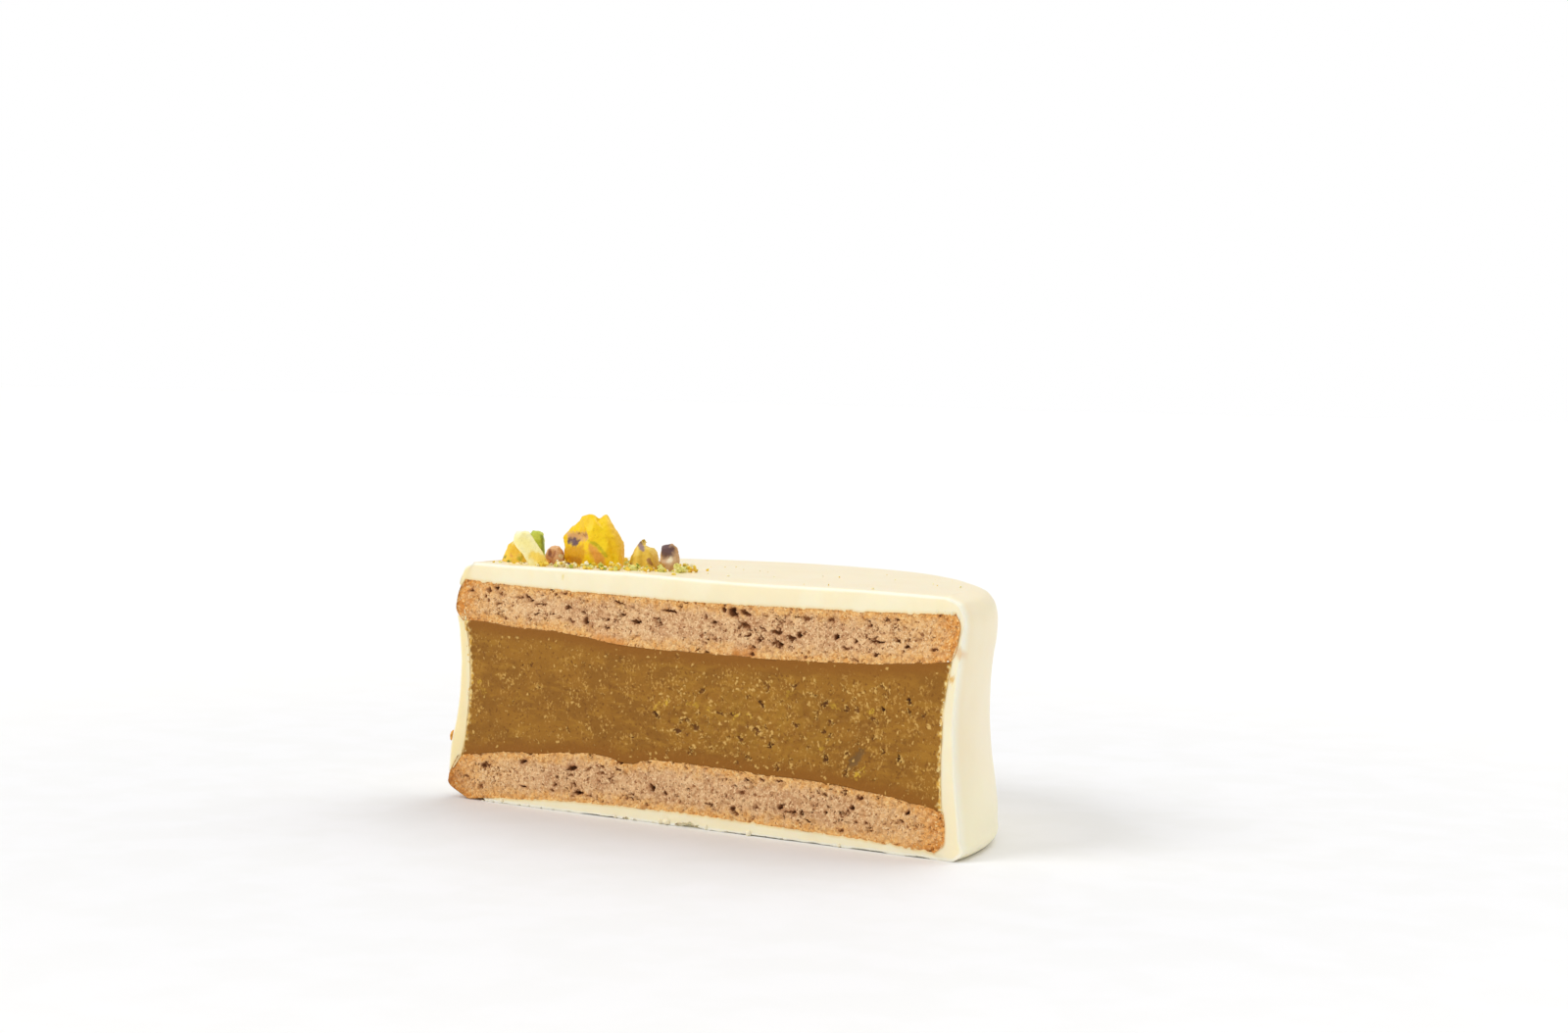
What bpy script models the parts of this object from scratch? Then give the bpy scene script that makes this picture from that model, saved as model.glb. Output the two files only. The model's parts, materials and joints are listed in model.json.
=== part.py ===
"""Half of a round filled biscuit sandwich in a white coating, as cut, with chopped nuts on top.

Two thin baked biscuits hold a thick layer of caramel paste. A white coating wraps the top, the
rim and the base, and is open at the straight cut, where every layer shows. The cut faces -Y, +X
is to the right of someone who looks at the cut, and the base stands on z = 0.

Lengths below are in millimetres, and each mesh is turned into metres when it is finished.
"depth" is the distance behind the cut, and "share" is a height between a layer's two faces.
"""

import math
import random

import bmesh
import bpy
from mathutils import Euler, Matrix, Vector, noise

# ---- driving dimensions -------------------------------------------------------------------
MM = 0.001
FOOT_RADIUS = 34.0  # the coating's widest radius, just above the base
CUT_Y = -FOOT_RADIUS / 2  # the cut's place, which centres the half on the origin
HEIGHT = 27.4  # the coating's top in the middle
LEFT_RISE = 0.3  # the top is this much higher at the left end of the cut
GAP = 0.3  # clear space between neighbouring pieces

# Each biscuit's faces: height on the middle axis, rise from there to the foot's radius, power of
# the distance with which it rises, and slow unevenness as (height, length, phase).
TOP_BISCUIT_TOP = (25.0, 0.75, 2, (0.1, 4.0, 1.1))
TOP_BISCUIT_BOTTOM = (19.3, 1.5, 3, (0.1, 3.0, 0.2))
BOTTOM_BISCUIT_TOP = (7.1, -2.5, 3, (0.0, 4.0, 0.0))
BOTTOM_BISCUIT_BOTTOM = (1.3, -0.45, 4, (0.06, 4.0, 2.0))
COATING_WAVE = (0.08, 5.0, 0.4)  # slow unevenness of the coating's top
WAVE_STRETCH = 1.3  # unevenness is this much longer from front to back

COLUMNS = 56  # steps round the half circle
COATING_ROWS = 7  # steps from the cut to the round back
CAVITY_ROWS = 4
LAYER_ROWS = 2
CAVITY_OVERRUN = 4.0  # how far the space inside the coating runs out through the cut
MERGE = 0.0001  # points closer than this are one point

# Side outlines: (share of the height, radius at the right end, round the back, at the left end).
COATING_SIDE = (
    (0.0, 33.1, 33.1, 32.6),
    (0.02, 33.9, 33.8, 33.2),
    (0.09, 33.9, 34.0, 33.6),
    (0.22, 33.5, 33.8, 33.4),
    (0.35, 33.1, 33.25, 32.6),
    (0.53, 32.9, 32.9, 32.1),
    (0.70, 33.3, 33.05, 32.4),
    (0.84, 33.8, 33.5, 33.0),
    (0.91, 34.0, 33.4, 32.6),
    (0.955, 33.6, 32.9, 32.0),
    (0.985, 32.8, 32.0, 31.3),
    (1.0, 31.5, 30.8, 30.2),
)
TOP_BISCUIT_SIDE = (
    (0.0, 32.3, 31.2, 31.3),
    (0.2, 32.9, 32.0, 32.3),
    (0.5, 33.2, 32.4, 32.2),
    (0.8, 33.3, 32.4, 31.8),
    (1.0, 32.8, 31.6, 31.2),
)
FILLING_SIDE = (
    (0.0, 31.6, 31.4, 31.6),
    (0.15, 31.45, 31.2, 31.1),
    (0.35, 31.4, 31.1, 30.7),
    (0.6, 31.5, 31.2, 30.5),
    (0.8, 31.8, 31.5, 30.7),
    (1.0, 32.4, 31.9, 31.2),
)
BOTTOM_BISCUIT_SIDE = (
    (0.0, 30.9, 30.6, 30.6),
    (0.2, 31.9, 31.4, 32.9),
    (0.5, 32.1, 31.9, 33.6),
    (0.8, 32.0, 31.9, 33.2),
    (1.0, 31.8, 31.5, 32.6),
)
END_BLEND = 0.1  # radians round from the cut in which an end's radius turns into the back's

# Dips and steps of the layers' borders along the cut: (x, change of height, half width).
# They fade away behind the cut.
TOP_BISCUIT_BOTTOM_STEPS = ((-18.0, 0.8, 7.0), (-28.5, 0.5, 4.0))
BOTTOM_BISCUIT_TOP_STEPS = ((-8.0, -0.7, 2.2), (-20.3, -0.3, 2.6), (10.0, -0.2, 4.0))
STEP_FADE_DEPTH = 16.0

# The broken corner at the left end of the cut, where the bottom biscuit is bare.
BARE_CORNER = ((-33.6, 0.0, 1.6), (3.2, 3.6, 3.4))  # (x, depth, z), half sizes

# Chips out of the coating's lower edge at the cut: (x, half width, half height, half depth).
EDGE_CHIPS = (
    (-27.5, 1.6, 0.35, 1.2),
    (-11.9, 2.6, 0.4, 1.4),
    (1.0, 1.9, 0.3, 1.0),
    (21.8, 2.8, 0.4, 1.3),
    (29.3, 1.1, 0.3, 0.9),
)

# Chopped nut pieces: name, (x, depth), half sizes, turns in degrees, how far the middle stands
# above the coating, and the flat chopped faces as (outward direction, distance from the middle).
NUTS = (
    ("nut_wedge", (-28.3, 5.5), (2.0, 1.15, 2.1), (0, 14, 0), 0.75,
     (((0.8, 0.0, 0.6), 0.75), ((-0.75, -0.2, 0.62), 1.1))),
    ("nut_sliver", (-23.9, 3.1), (2.9, 0.75, 1.1), (0, 43, 0), 1.95,
     (((0.0, -1.0, 0.15), 0.5), ((0.0, 0.3, 1.0), 0.75), ((1.0, 0.0, -0.3), 2.4),
      ((-1.0, 0.0, 0.5), 2.3))),
    ("nut_green", (-27.2, 7.7), (1.25, 0.85, 2.0), (0, -8, 20), 1.1,
     (((-0.7, -0.5, 0.3), 0.7), ((0.2, -0.95, 0.1), 0.6))),
    ("nut_brown", (-22.6, 5.4), (1.15, 0.85, 1.15), (10, 20, 15), 0.75,
     (((-0.4, -0.8, 0.4), 0.75), ((0.7, 0.1, 0.7), 0.9))),
    ("nut_large", (-17.75, 6.5), (4.0, 2.7, 4.5), (0, -4, -8), 1.55,
     (((-0.35, -0.93, 0.1), 1.9), ((-1.0, 0.1, 0.05), 3.3), ((-0.6, -0.25, 0.75), 3.5),
      ((0.05, 0.0, 1.0), 3.95), ((-0.1, 1.0, 0.2), 2.1))),
    ("nut_mixed", (-11.1, 6.7), (1.85, 1.5, 2.1), (0, 10, 10), 0.95,
     (((0.1, -0.9, 0.42), 1.0), ((0.75, -0.1, 0.66), 1.4), ((-0.2, 0.9, 0.4), 1.15))),
    ("nut_skin", (-7.9, 7.0), (1.2, 1.05, 1.75), (0, -18, 12), 1.35,
     (((-0.5, -0.8, 0.3), 0.8), ((0.2, 0.3, 0.93), 1.35))),
)
NUT_UNEVENNESS = 0.10  # share of the half size
NUT_BUMPS = 1.7  # bumps across a piece
LARGE_NUT = 3.0  # a half size above which a piece gets finer faces
NUT_LEAN = 0.6  # share of a piece's height by which it may lean to the side
NUT_ROOM = (1.05, 1.1)  # room kept round a piece along x and depth, as shares of its half sizes

# Nut crumbs stuck in the coating, in one patch round the larger pieces.
CRUMB_SEED = 11
CRUMBS = 50  # how many are drawn; one that finds no room is left out
CRUMB_TRIES = 2000  # places tried for each crumb
CRUMB_RADII = (0.38, 0.85)
CRUMB_STRETCH = (0.75, 1.25)  # its half sizes, as shares of its radius
CRUMB_LIFT = 0.25  # how far its middle stands above the coating, as a share of its radius
PATCH_MIDDLE = (-17.5, 6.6)  # x, depth
PATCH_HALF = (12.8, 5.4)
PATCH_RADIUS_LIMIT = 29.8  # no crumb lies on the rounded shoulder
RIM_CRUMB = ((-32.95, 1.1, 7.1), (0.6, 0.75, 0.98))  # stuck on the rim at the left end

# Roughness of the cut: how far a face is torn back at most, and its coarse and fine unevenness
# as (size, weight, place in the noise).
BISCUIT_TEAR = 0.55
FILLING_TEAR = 0.16
TEAR_NOISE = ((2.1, 0.9, 3.7), (0.9, 0.7, 8.1))

SHARP_ANGLE = 38  # degrees between two faces from which their edge stays sharp
FLAT = 0.99999  # cosine above which two faces look the same way

# Colour, roughness and metallic value of each kind of surface.
FINISHES = {
    "coating": ((0.90, 0.81, 0.58), 0.36, 0.0),
    "top_biscuit": ((0.52, 0.28, 0.12), 0.92, 0.0),
    "filling": ((0.31, 0.13, 0.024), 0.5, 0.0),
    "bottom_biscuit": ((0.52, 0.28, 0.12), 0.92, 0.0),
    "nut_wedge": ((0.76, 0.45, 0.03), 0.6, 0.0),
    "nut_sliver": ((0.92, 0.80, 0.33), 0.6, 0.0),
    "nut_green": ((0.42, 0.38, 0.04), 0.6, 0.0),
    "nut_brown": ((0.32, 0.12, 0.06), 0.7, 0.0),
    "nut_large": ((0.90, 0.60, 0.02), 0.55, 0.0),
    "nut_mixed": ((0.62, 0.42, 0.07), 0.6, 0.0),
    "nut_skin": ((0.17, 0.11, 0.10), 0.7, 0.0),
}


# ---- heights of the layers ----------------------------------------------------------------
def spread(x, y):
    """Distance from the middle axis, as a share of the foot's radius."""
    return math.hypot(x, y - CUT_Y) / FOOT_RADIUS


def steps(x, y, marks):
    """The dips and steps of a border along the cut."""
    fade = math.exp(-((y - CUT_Y) / STEP_FADE_DEPTH) ** 2)
    return fade * sum(rise * math.exp(-(((x - at) / half) ** 2)) for at, rise, half in marks)


def ripple(x, y, size, length, phase):
    """A slow unevenness, as hand-made layers have."""
    return size * math.sin(x / length + phase) * math.cos(y / (WAVE_STRETCH * length) - phase)


def face_height(x, y, face, marks=()):
    """Height of a biscuit's face at a place."""
    middle, rise, power, wave = face
    return middle + rise * spread(x, y) ** power + ripple(x, y, *wave) + steps(x, y, marks)


def coating_top(x, y):
    left = (1 - x / FOOT_RADIUS) / 2
    return HEIGHT + LEFT_RISE * left ** 2 + ripple(x, y, *COATING_WAVE)


def base(x, y):
    return 0.0


def top_biscuit_top(x, y):
    return face_height(x, y, TOP_BISCUIT_TOP)


def top_biscuit_bottom(x, y):
    return face_height(x, y, TOP_BISCUIT_BOTTOM, TOP_BISCUIT_BOTTOM_STEPS)


def bottom_biscuit_top(x, y):
    return face_height(x, y, BOTTOM_BISCUIT_TOP, BOTTOM_BISCUIT_TOP_STEPS)


def bottom_biscuit_bottom(x, y):
    return face_height(x, y, BOTTOM_BISCUIT_BOTTOM)


def filling_top(x, y):
    return top_biscuit_bottom(x, y) - GAP


def filling_bottom(x, y):
    return bottom_biscuit_top(x, y) + GAP


def cavity_top(x, y):
    return top_biscuit_top(x, y) + GAP


def cavity_bottom(x, y):
    return bottom_biscuit_bottom(x, y) - GAP


# ---- meshes -------------------------------------------------------------------------------
def tear(x, z, amount):
    """How far the cut face is torn back at a place."""
    uneven = sum(
        weight * noise.noise(Vector((x / size, place, z / size)))
        for size, weight, place in TEAR_NOISE
    )
    return amount * min(1.0, abs(uneven))


def block_mesh(columns, levels, rows, point):
    """The closed surface of a lattice of columns x levels x rows, bent into shape by point()."""
    bm = bmesh.new()
    found = {}

    def vertex(i, k, m):
        if (i, k, m) not in found:
            found[i, k, m] = bm.verts.new(point(i, k, m))
        return found[i, k, m]

    def sheet(first, second, corner):
        for a in range(first):
            for b in range(second):
                ring = [(a, b), (a + 1, b), (a + 1, b + 1), (a, b + 1)]
                bm.faces.new([vertex(*corner(*at)) for at in ring])

    for end in (0, rows):
        sheet(columns, levels, lambda a, b, end=end: (a, b, end))
    for end in (0, levels):
        sheet(columns, rows, lambda a, b, end=end: (a, end, b))
    for end in (0, columns):
        sheet(levels, rows, lambda a, b, end=end: (end, a, b))
    bmesh.ops.remove_doubles(bm, verts=bm.verts, dist=MERGE)
    bmesh.ops.dissolve_degenerate(bm, edges=bm.edges, dist=MERGE)
    bmesh.ops.recalc_face_normals(bm, faces=bm.faces)
    return bm


def side_radius(radii, angle):
    """Radius at an angle from the right end of the cut, from those at both ends and the back."""
    right, back, left = radii
    near_right = math.exp(-((angle / END_BLEND) ** 2))
    near_left = math.exp(-(((math.pi - angle) / END_BLEND) ** 2))
    return back + (right - back) * near_right + (left - back) * near_left


def layer_rings(side, lower, upper, grow=0.0):
    """A layer's side as rings: the three radii, and the height as a function of x and y."""

    def height_at(share):
        return lambda x, y: lower(x, y) + share * (upper(x, y) - lower(x, y))

    return [([r + grow for r in radii], height_at(share)) for share, *radii in side]


def half_disc(rings, rows, front=CUT_Y, tear_amount=0.0):
    """Half a disc whose side follows the rings, from a straight front face to its round back."""

    def point(i, k, m):
        radii, height = rings[k]
        angle = math.pi * i / COLUMNS
        radius = side_radius(radii, angle)
        x = radius * math.cos(angle)
        back = CUT_Y + radius * math.sin(angle)
        y = front + (back - front) * m / rows
        z = height(x, y)
        if m == 0 and 0 < i < COLUMNS:
            y += tear(x, z, tear_amount)
        return Vector((x, y, z))

    return block_mesh(COLUMNS, len(rings) - 1, rows, point)


def dissolve_flat(bm, normal):
    """Joins the faces of one flat side into one face."""
    flat = [f for f in bm.faces if f.normal.dot(Vector(normal)) > FLAT]
    bmesh.ops.dissolve_faces(bm, faces=flat, use_verts=False)


def lump(centre, half, turn=(0, 0, 0), subdivisions=2):
    """A ball stretched to half sizes, turned and placed. Its middle is at (x, depth, z)."""
    bm = bmesh.new()
    bmesh.ops.create_icosphere(bm, subdivisions=subdivisions, radius=1.0)
    turned = Euler([math.radians(a) for a in turn]).to_matrix().to_4x4()
    place = Matrix.Translation((centre[0], CUT_Y + centre[1], centre[2]))
    bm.transform(place @ turned @ Matrix.Diagonal((*half, 1.0)))
    return bm


def slice_off(bm, point, normal):
    """Cuts away what lies beyond a plane and closes the cut."""
    geometry = [*bm.verts, *bm.edges, *bm.faces]
    cut = bmesh.ops.bisect_plane(
        bm, geom=geometry, dist=MERGE, plane_co=point, plane_no=normal, clear_outer=True
    )["geom_cut"]
    edges = [e for e in cut if isinstance(e, bmesh.types.BMEdge)]
    bmesh.ops.holes_fill(bm, edges=edges, sides=0)


def finish(bm, name):
    """Turns a mesh into metres and into an object of the scene, with its own material."""
    bm.transform(Matrix.Scale(MM, 4))
    bmesh.ops.recalc_face_normals(bm, faces=bm.faces)
    bmesh.ops.triangulate(bm, faces=bm.faces)
    mesh = bpy.data.meshes.new(name)
    bm.to_mesh(mesh)
    bm.free()
    obj = bpy.data.objects.new(name, mesh)
    bpy.context.scene.collection.objects.link(obj)
    return obj


def shade(obj):
    obj.data.shade_smooth()
    obj.data.set_sharp_from_angle(angle=math.radians(SHARP_ANGLE))


def paint(obj):
    """The node's own plain material."""
    colour, roughness, metallic = FINISHES[obj.name]
    material = bpy.data.materials.new(obj.name)
    material.use_nodes = True
    principled = material.node_tree.nodes["Principled BSDF"]
    principled.inputs["Base Color"].default_value = (*colour, 1.0)
    principled.inputs["Roughness"].default_value = roughness
    principled.inputs["Metallic"].default_value = metallic
    obj.data.materials.clear()
    obj.data.materials.append(material)


def boolean(obj, pieces, operation, solver="EXACT"):
    """Joins a collection of pieces to an object, or cuts them out of it, and removes them."""
    group = bpy.data.collections.new("pieces")
    bpy.context.scene.collection.children.link(group)
    for piece in pieces:
        bpy.context.scene.collection.objects.unlink(piece)
        group.objects.link(piece)
    modifier = obj.modifiers.new("pieces", "BOOLEAN")
    modifier.operation = operation
    modifier.operand_type = "COLLECTION"
    modifier.collection = group
    modifier.solver = solver
    evaluated = obj.evaluated_get(bpy.context.evaluated_depsgraph_get())
    mesh = bpy.data.meshes.new_from_object(evaluated)
    obj.modifiers.clear()
    obj.data = mesh
    for piece in pieces:
        bpy.data.objects.remove(piece)
    bpy.data.collections.remove(group)


# ---- the pieces ---------------------------------------------------------------------------
def cavity_rings():
    """The side of the space inside the coating: each layer's side, set out by the gap."""
    bottom = layer_rings(BOTTOM_BISCUIT_SIDE, cavity_bottom, bottom_biscuit_top, GAP)
    middle = layer_rings(FILLING_SIDE, filling_bottom, filling_top, GAP)
    top = layer_rings(TOP_BISCUIT_SIDE, top_biscuit_bottom, cavity_top, GAP)
    lower_joint = (list(map(max, bottom[-1][0], middle[0][0])), bottom_biscuit_top)
    upper_joint = (list(map(max, middle[-1][0], top[0][0])), top_biscuit_bottom)
    return [*bottom[:-1], lower_joint, *middle[1:-1], upper_joint, *top[1:]]


def make_crumbs():
    """Nut crumbs that stick in the coating's top, the largest placed first, and one on the rim."""
    draw = random.Random(CRUMB_SEED)
    placed = []
    for radius in sorted((draw.uniform(*CRUMB_RADII) for _ in range(CRUMBS)), reverse=True):
        reach = CRUMB_STRETCH[1] * radius
        for _ in range(CRUMB_TRIES):
            x = PATCH_MIDDLE[0] + PATCH_HALF[0] * draw.uniform(-1, 1)
            depth = PATCH_MIDDLE[1] + PATCH_HALF[1] * draw.uniform(-1, 1)
            apart = all(
                math.hypot(x - a, depth - b) > reach + CRUMB_STRETCH[1] * r for a, b, r in placed
            )
            if apart and in_patch(x, depth, reach) and clear_of_nuts(x, depth, reach):
                placed.append((x, depth, radius))
                break
    crumbs = []
    for x, depth, radius in placed:
        half = [radius * draw.uniform(*CRUMB_STRETCH) for _ in range(3)]
        turn = [draw.uniform(0, 360) for _ in range(3)]
        z = coating_top(x, CUT_Y + depth) + CRUMB_LIFT * radius
        crumbs.append(finish(lump((x, depth, z), half, turn, subdivisions=1), "crumb"))
    crumbs.append(finish(lump(*RIM_CRUMB), "crumb"))
    return crumbs


def in_patch(x, depth, reach):
    """True where a crumb of that reach lies in the patch and off the rounded shoulder."""
    along = (x - PATCH_MIDDLE[0]) / PATCH_HALF[0]
    across = (depth - PATCH_MIDDLE[1]) / PATCH_HALF[1]
    return along ** 2 + across ** 2 < 1 and math.hypot(x, depth) + reach < PATCH_RADIUS_LIMIT


def clear_of_nuts(x, depth, reach):
    """True where a crumb of that reach keeps the gap to every nut piece."""
    for _, (at_x, at_depth), half, _, _, _ in NUTS:
        room = GAP + reach
        across = (x - at_x) / (NUT_ROOM[0] * max(half[0], NUT_LEAN * half[2]) + room)
        along = (depth - at_depth) / (NUT_ROOM[1] * half[1] + room)
        if across ** 2 + along ** 2 < 1:
            return False
    return True


def make_coating():
    """The white coating: a shell with a broken left corner, chipped edge and stuck crumbs."""
    bm = half_disc(layer_rings(COATING_SIDE, base, coating_top), COATING_ROWS)
    dissolve_flat(bm, (0, -1, 0))
    dissolve_flat(bm, (0, 0, -1))
    coating = finish(bm, "coating")
    cavity = half_disc(cavity_rings(), CAVITY_ROWS, front=CUT_Y - CAVITY_OVERRUN)
    boolean(coating, [finish(cavity, "cavity")], "DIFFERENCE", "MANIFOLD")
    corner = finish(lump(*BARE_CORNER, subdivisions=3), "corner")
    chips = [
        finish(lump((x, 0.0, 0.0), (wide, deep, high)), "chip")
        for x, wide, high, deep in EDGE_CHIPS
    ]
    boolean(coating, [corner, *chips], "DIFFERENCE", "MANIFOLD")
    boolean(coating, make_crumbs(), "UNION")
    return coating


def make_layers():
    """The two biscuits and the filling between them, clear of each other by the gap."""
    layers = (
        ("top_biscuit", TOP_BISCUIT_SIDE, top_biscuit_bottom, top_biscuit_top, BISCUIT_TEAR),
        ("filling", FILLING_SIDE, filling_bottom, filling_top, FILLING_TEAR),
        ("bottom_biscuit", BOTTOM_BISCUIT_SIDE, bottom_biscuit_bottom, bottom_biscuit_top,
         BISCUIT_TEAR),
    )
    return [
        finish(half_disc(layer_rings(side, lower, upper), LAYER_ROWS, CUT_Y, torn), name)
        for name, side, lower, upper, torn in layers
    ]


def make_nut(name, spot, half, turn, lift, faces):
    """A chopped piece of nut: an uneven lump with flat chopped faces, standing on the coating."""
    x, depth = spot
    rest = coating_top(x, CUT_Y + depth) + GAP
    bm = bmesh.new()
    fineness = 3 if max(half) > LARGE_NUT else 2
    bmesh.ops.create_icosphere(bm, subdivisions=fineness, radius=1.0)
    for v in bm.verts:
        v.co *= 1 + NUT_UNEVENNESS * noise.noise(v.co * NUT_BUMPS + Vector((x, depth, 0)))
    bm.transform(Matrix.Diagonal((*half, 1.0)))
    for normal, distance in faces:
        direction = Vector(normal).normalized()
        slice_off(bm, direction * distance, direction)
    turned = Euler([math.radians(a) for a in turn]).to_matrix().to_4x4()
    bm.transform(Matrix.Translation((x, CUT_Y + depth, rest + lift)) @ turned)
    slice_off(bm, Vector((0, 0, rest)), Vector((0, 0, -1)))
    return finish(bm, name)


def main():
    for old in list(bpy.data.objects):
        bpy.data.objects.remove(old)
    nuts = [make_nut(*nut) for nut in NUTS]
    for obj in [make_coating(), *make_layers(), *nuts]:
        shade(obj)
        paint(obj)


main()
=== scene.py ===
import json
import math
import random

import bpy
import numpy as np
from mathutils import Euler, Matrix, Vector, noise

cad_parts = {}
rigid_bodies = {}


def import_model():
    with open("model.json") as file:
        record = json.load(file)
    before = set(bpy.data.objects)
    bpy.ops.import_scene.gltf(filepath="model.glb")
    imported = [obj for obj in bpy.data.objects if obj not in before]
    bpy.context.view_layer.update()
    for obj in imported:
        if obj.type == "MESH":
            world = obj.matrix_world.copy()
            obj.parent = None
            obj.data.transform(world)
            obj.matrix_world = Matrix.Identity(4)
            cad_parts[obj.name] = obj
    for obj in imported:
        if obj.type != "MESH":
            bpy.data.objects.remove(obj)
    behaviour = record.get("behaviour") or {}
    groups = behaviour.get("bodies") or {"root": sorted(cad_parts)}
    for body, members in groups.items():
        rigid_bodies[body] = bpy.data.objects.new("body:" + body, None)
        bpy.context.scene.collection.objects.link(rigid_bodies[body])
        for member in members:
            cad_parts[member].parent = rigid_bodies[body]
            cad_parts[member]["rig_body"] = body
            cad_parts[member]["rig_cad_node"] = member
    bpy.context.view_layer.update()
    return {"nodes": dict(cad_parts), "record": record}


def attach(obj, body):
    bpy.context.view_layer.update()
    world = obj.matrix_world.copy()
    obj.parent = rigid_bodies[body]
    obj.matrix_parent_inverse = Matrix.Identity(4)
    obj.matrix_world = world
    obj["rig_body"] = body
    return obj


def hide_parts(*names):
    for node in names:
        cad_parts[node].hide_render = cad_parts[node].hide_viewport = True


# The looks of half an alfajor, cut straight: two baked biscuits, caramel paste, a white coating
# and chopped nuts. Lengths are in millimetres until a mesh is finished. "depth" is the distance
# behind the cut, and "share" is a height between a layer's two faces.

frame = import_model()

# ---- driving dimensions: the solids' own, with the biscuits' left ends shaped more finely -----
MM = 0.001
FOOT_RADIUS = 34.0
CUT_Y = -FOOT_RADIUS / 2
HEIGHT = 27.4
LEFT_RISE = 0.3

# Faces of the biscuits: height in the middle, rise at the rim, power, slow unevenness.
TOP_BISCUIT_TOP = (25.0, 0.75, 2, (0.1, 4.0, 1.1))
TOP_BISCUIT_BOTTOM = (19.3, 1.5, 3, (0.1, 3.0, 0.2))
BOTTOM_BISCUIT_TOP = (7.1, -2.5, 3, (0.0, 4.0, 0.0))
BOTTOM_BISCUIT_BOTTOM = (1.42, -0.9, 2, (0.06, 4.0, 2.0))
COATING_WAVE = (0.08, 5.0, 0.4)
WAVE_STRETCH = 1.3
TOP_BISCUIT_BOTTOM_STEPS = ((-18.0, 0.8, 7.0), (-28.5, 0.5, 4.0))
BOTTOM_BISCUIT_TOP_STEPS = ((-8.0, -0.7, 2.2), (-20.3, -0.3, 2.6), (10.0, -0.2, 4.0))
BOTTOM_BISCUIT_BOTTOM_STEPS = ((-30.6, -0.45, 2.4), (-25.0, -0.4, 5.5))
STEP_FADE_DEPTH = 16.0
END_BLEND = 0.1

# Side outlines: (share of the height, radius at the right end, round the back, at the left end).
COATING_SIDE = (
    (0.0, 33.1, 33.1, 32.6),
    (0.02, 33.9, 33.8, 33.2),
    (0.09, 33.9, 34.0, 33.6),
    (0.22, 33.5, 33.8, 33.4),
    (0.35, 33.1, 33.25, 32.6),
    (0.53, 32.9, 32.9, 32.1),
    (0.70, 33.3, 33.05, 32.4),
    (0.84, 33.8, 33.5, 33.0),
    (0.91, 34.0, 33.4, 32.6),
    (0.955, 33.6, 32.9, 32.0),
    (0.985, 32.8, 32.0, 31.3),
    (1.0, 31.5, 30.8, 30.2),
)
TOP_BISCUIT_SIDE = (
    (0.0, 32.3, 31.2, 31.7),
    (0.2, 32.9, 32.0, 32.6),
    (0.5, 33.2, 32.4, 32.6),
    (0.8, 33.3, 32.4, 32.1),
    (1.0, 32.8, 31.6, 31.4),
)
FILLING_SIDE = (
    (0.0, 31.6, 31.4, 31.6),
    (0.15, 31.45, 31.2, 31.1),
    (0.35, 31.4, 31.1, 30.7),
    (0.6, 31.5, 31.2, 30.5),
    (0.8, 31.8, 31.5, 30.7),
    (1.0, 32.4, 31.9, 31.2),
)
BOTTOM_BISCUIT_SIDE = (
    (0.0, 30.9, 30.6, 30.6),
    (0.2, 31.9, 31.4, 33.0),
    (0.5, 32.1, 31.9, 33.45),
    (0.8, 32.0, 31.9, 32.8),
    (1.0, 31.8, 31.5, 32.2),
)

# ---- details of the cut -----------------------------------------------------------------------
LAYER_ROWS = (0.0, 0.03, 0.1, 0.25, 0.5, 0.75, 1.0)  # shares of the way from the cut to the back
BISCUIT_GRID = (880, 58)
FILLING_GRID = (640, 104)
LAYER_EVENNESS = 0.55  # how evenly the columns are spaced along the cut, see column_angle
BACK_KEPT = 0.12  # share of the faces that the hidden round back of a layer keeps
BARE_END_X = -27.0  # left of this the round back of the lower biscuit shows
BROWNED_BEYOND = (2.5, 6.0)  # how far beyond the bare end's start its tip begins to brown and is
BROWNED_HEIGHTS = (4.6, 1.6)

AIR_CELLS = ((0.2, 0.46, 1.0), (0.5, 0.46, 1.5), (1.6, 0.32, 1.8))  # size, weight, stretch
PORE_LIMIT_CRUST = 0.37
PORE_LIMIT_CRUMB = 0.255
CARVE_STEP = 0.07
CARVE_STEPS = 12
PORE_SPREAD = 1.3  # the pores below are given by their dark middles, and are this much wider
SMALL_PORES = 110  # drawn at random in each biscuit
SMALL_PORE_SIZES = (0.08, 0.26)  # half heights
SMALL_PORE_DEPTH = 2.0  # by half height
CUT_SPAN = (-32, 32)
MEAN_GRAIN = 0.4
END_SHARE = 0.35  # the crust reaches further in from the ends than from the faces
# Places where the crust is browned more: radius, tone, places along the mark.
CRUST_MARKS = (
    (0.8, (222, 146, 70), (-12.6, -17.0, 20.2), (-9.4, -17.0, 19.9)),
    (0.8, (206, 130, 60), (6.2, -17.0, 20.0), (8.0, -17.0, 20.1)),
)

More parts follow.
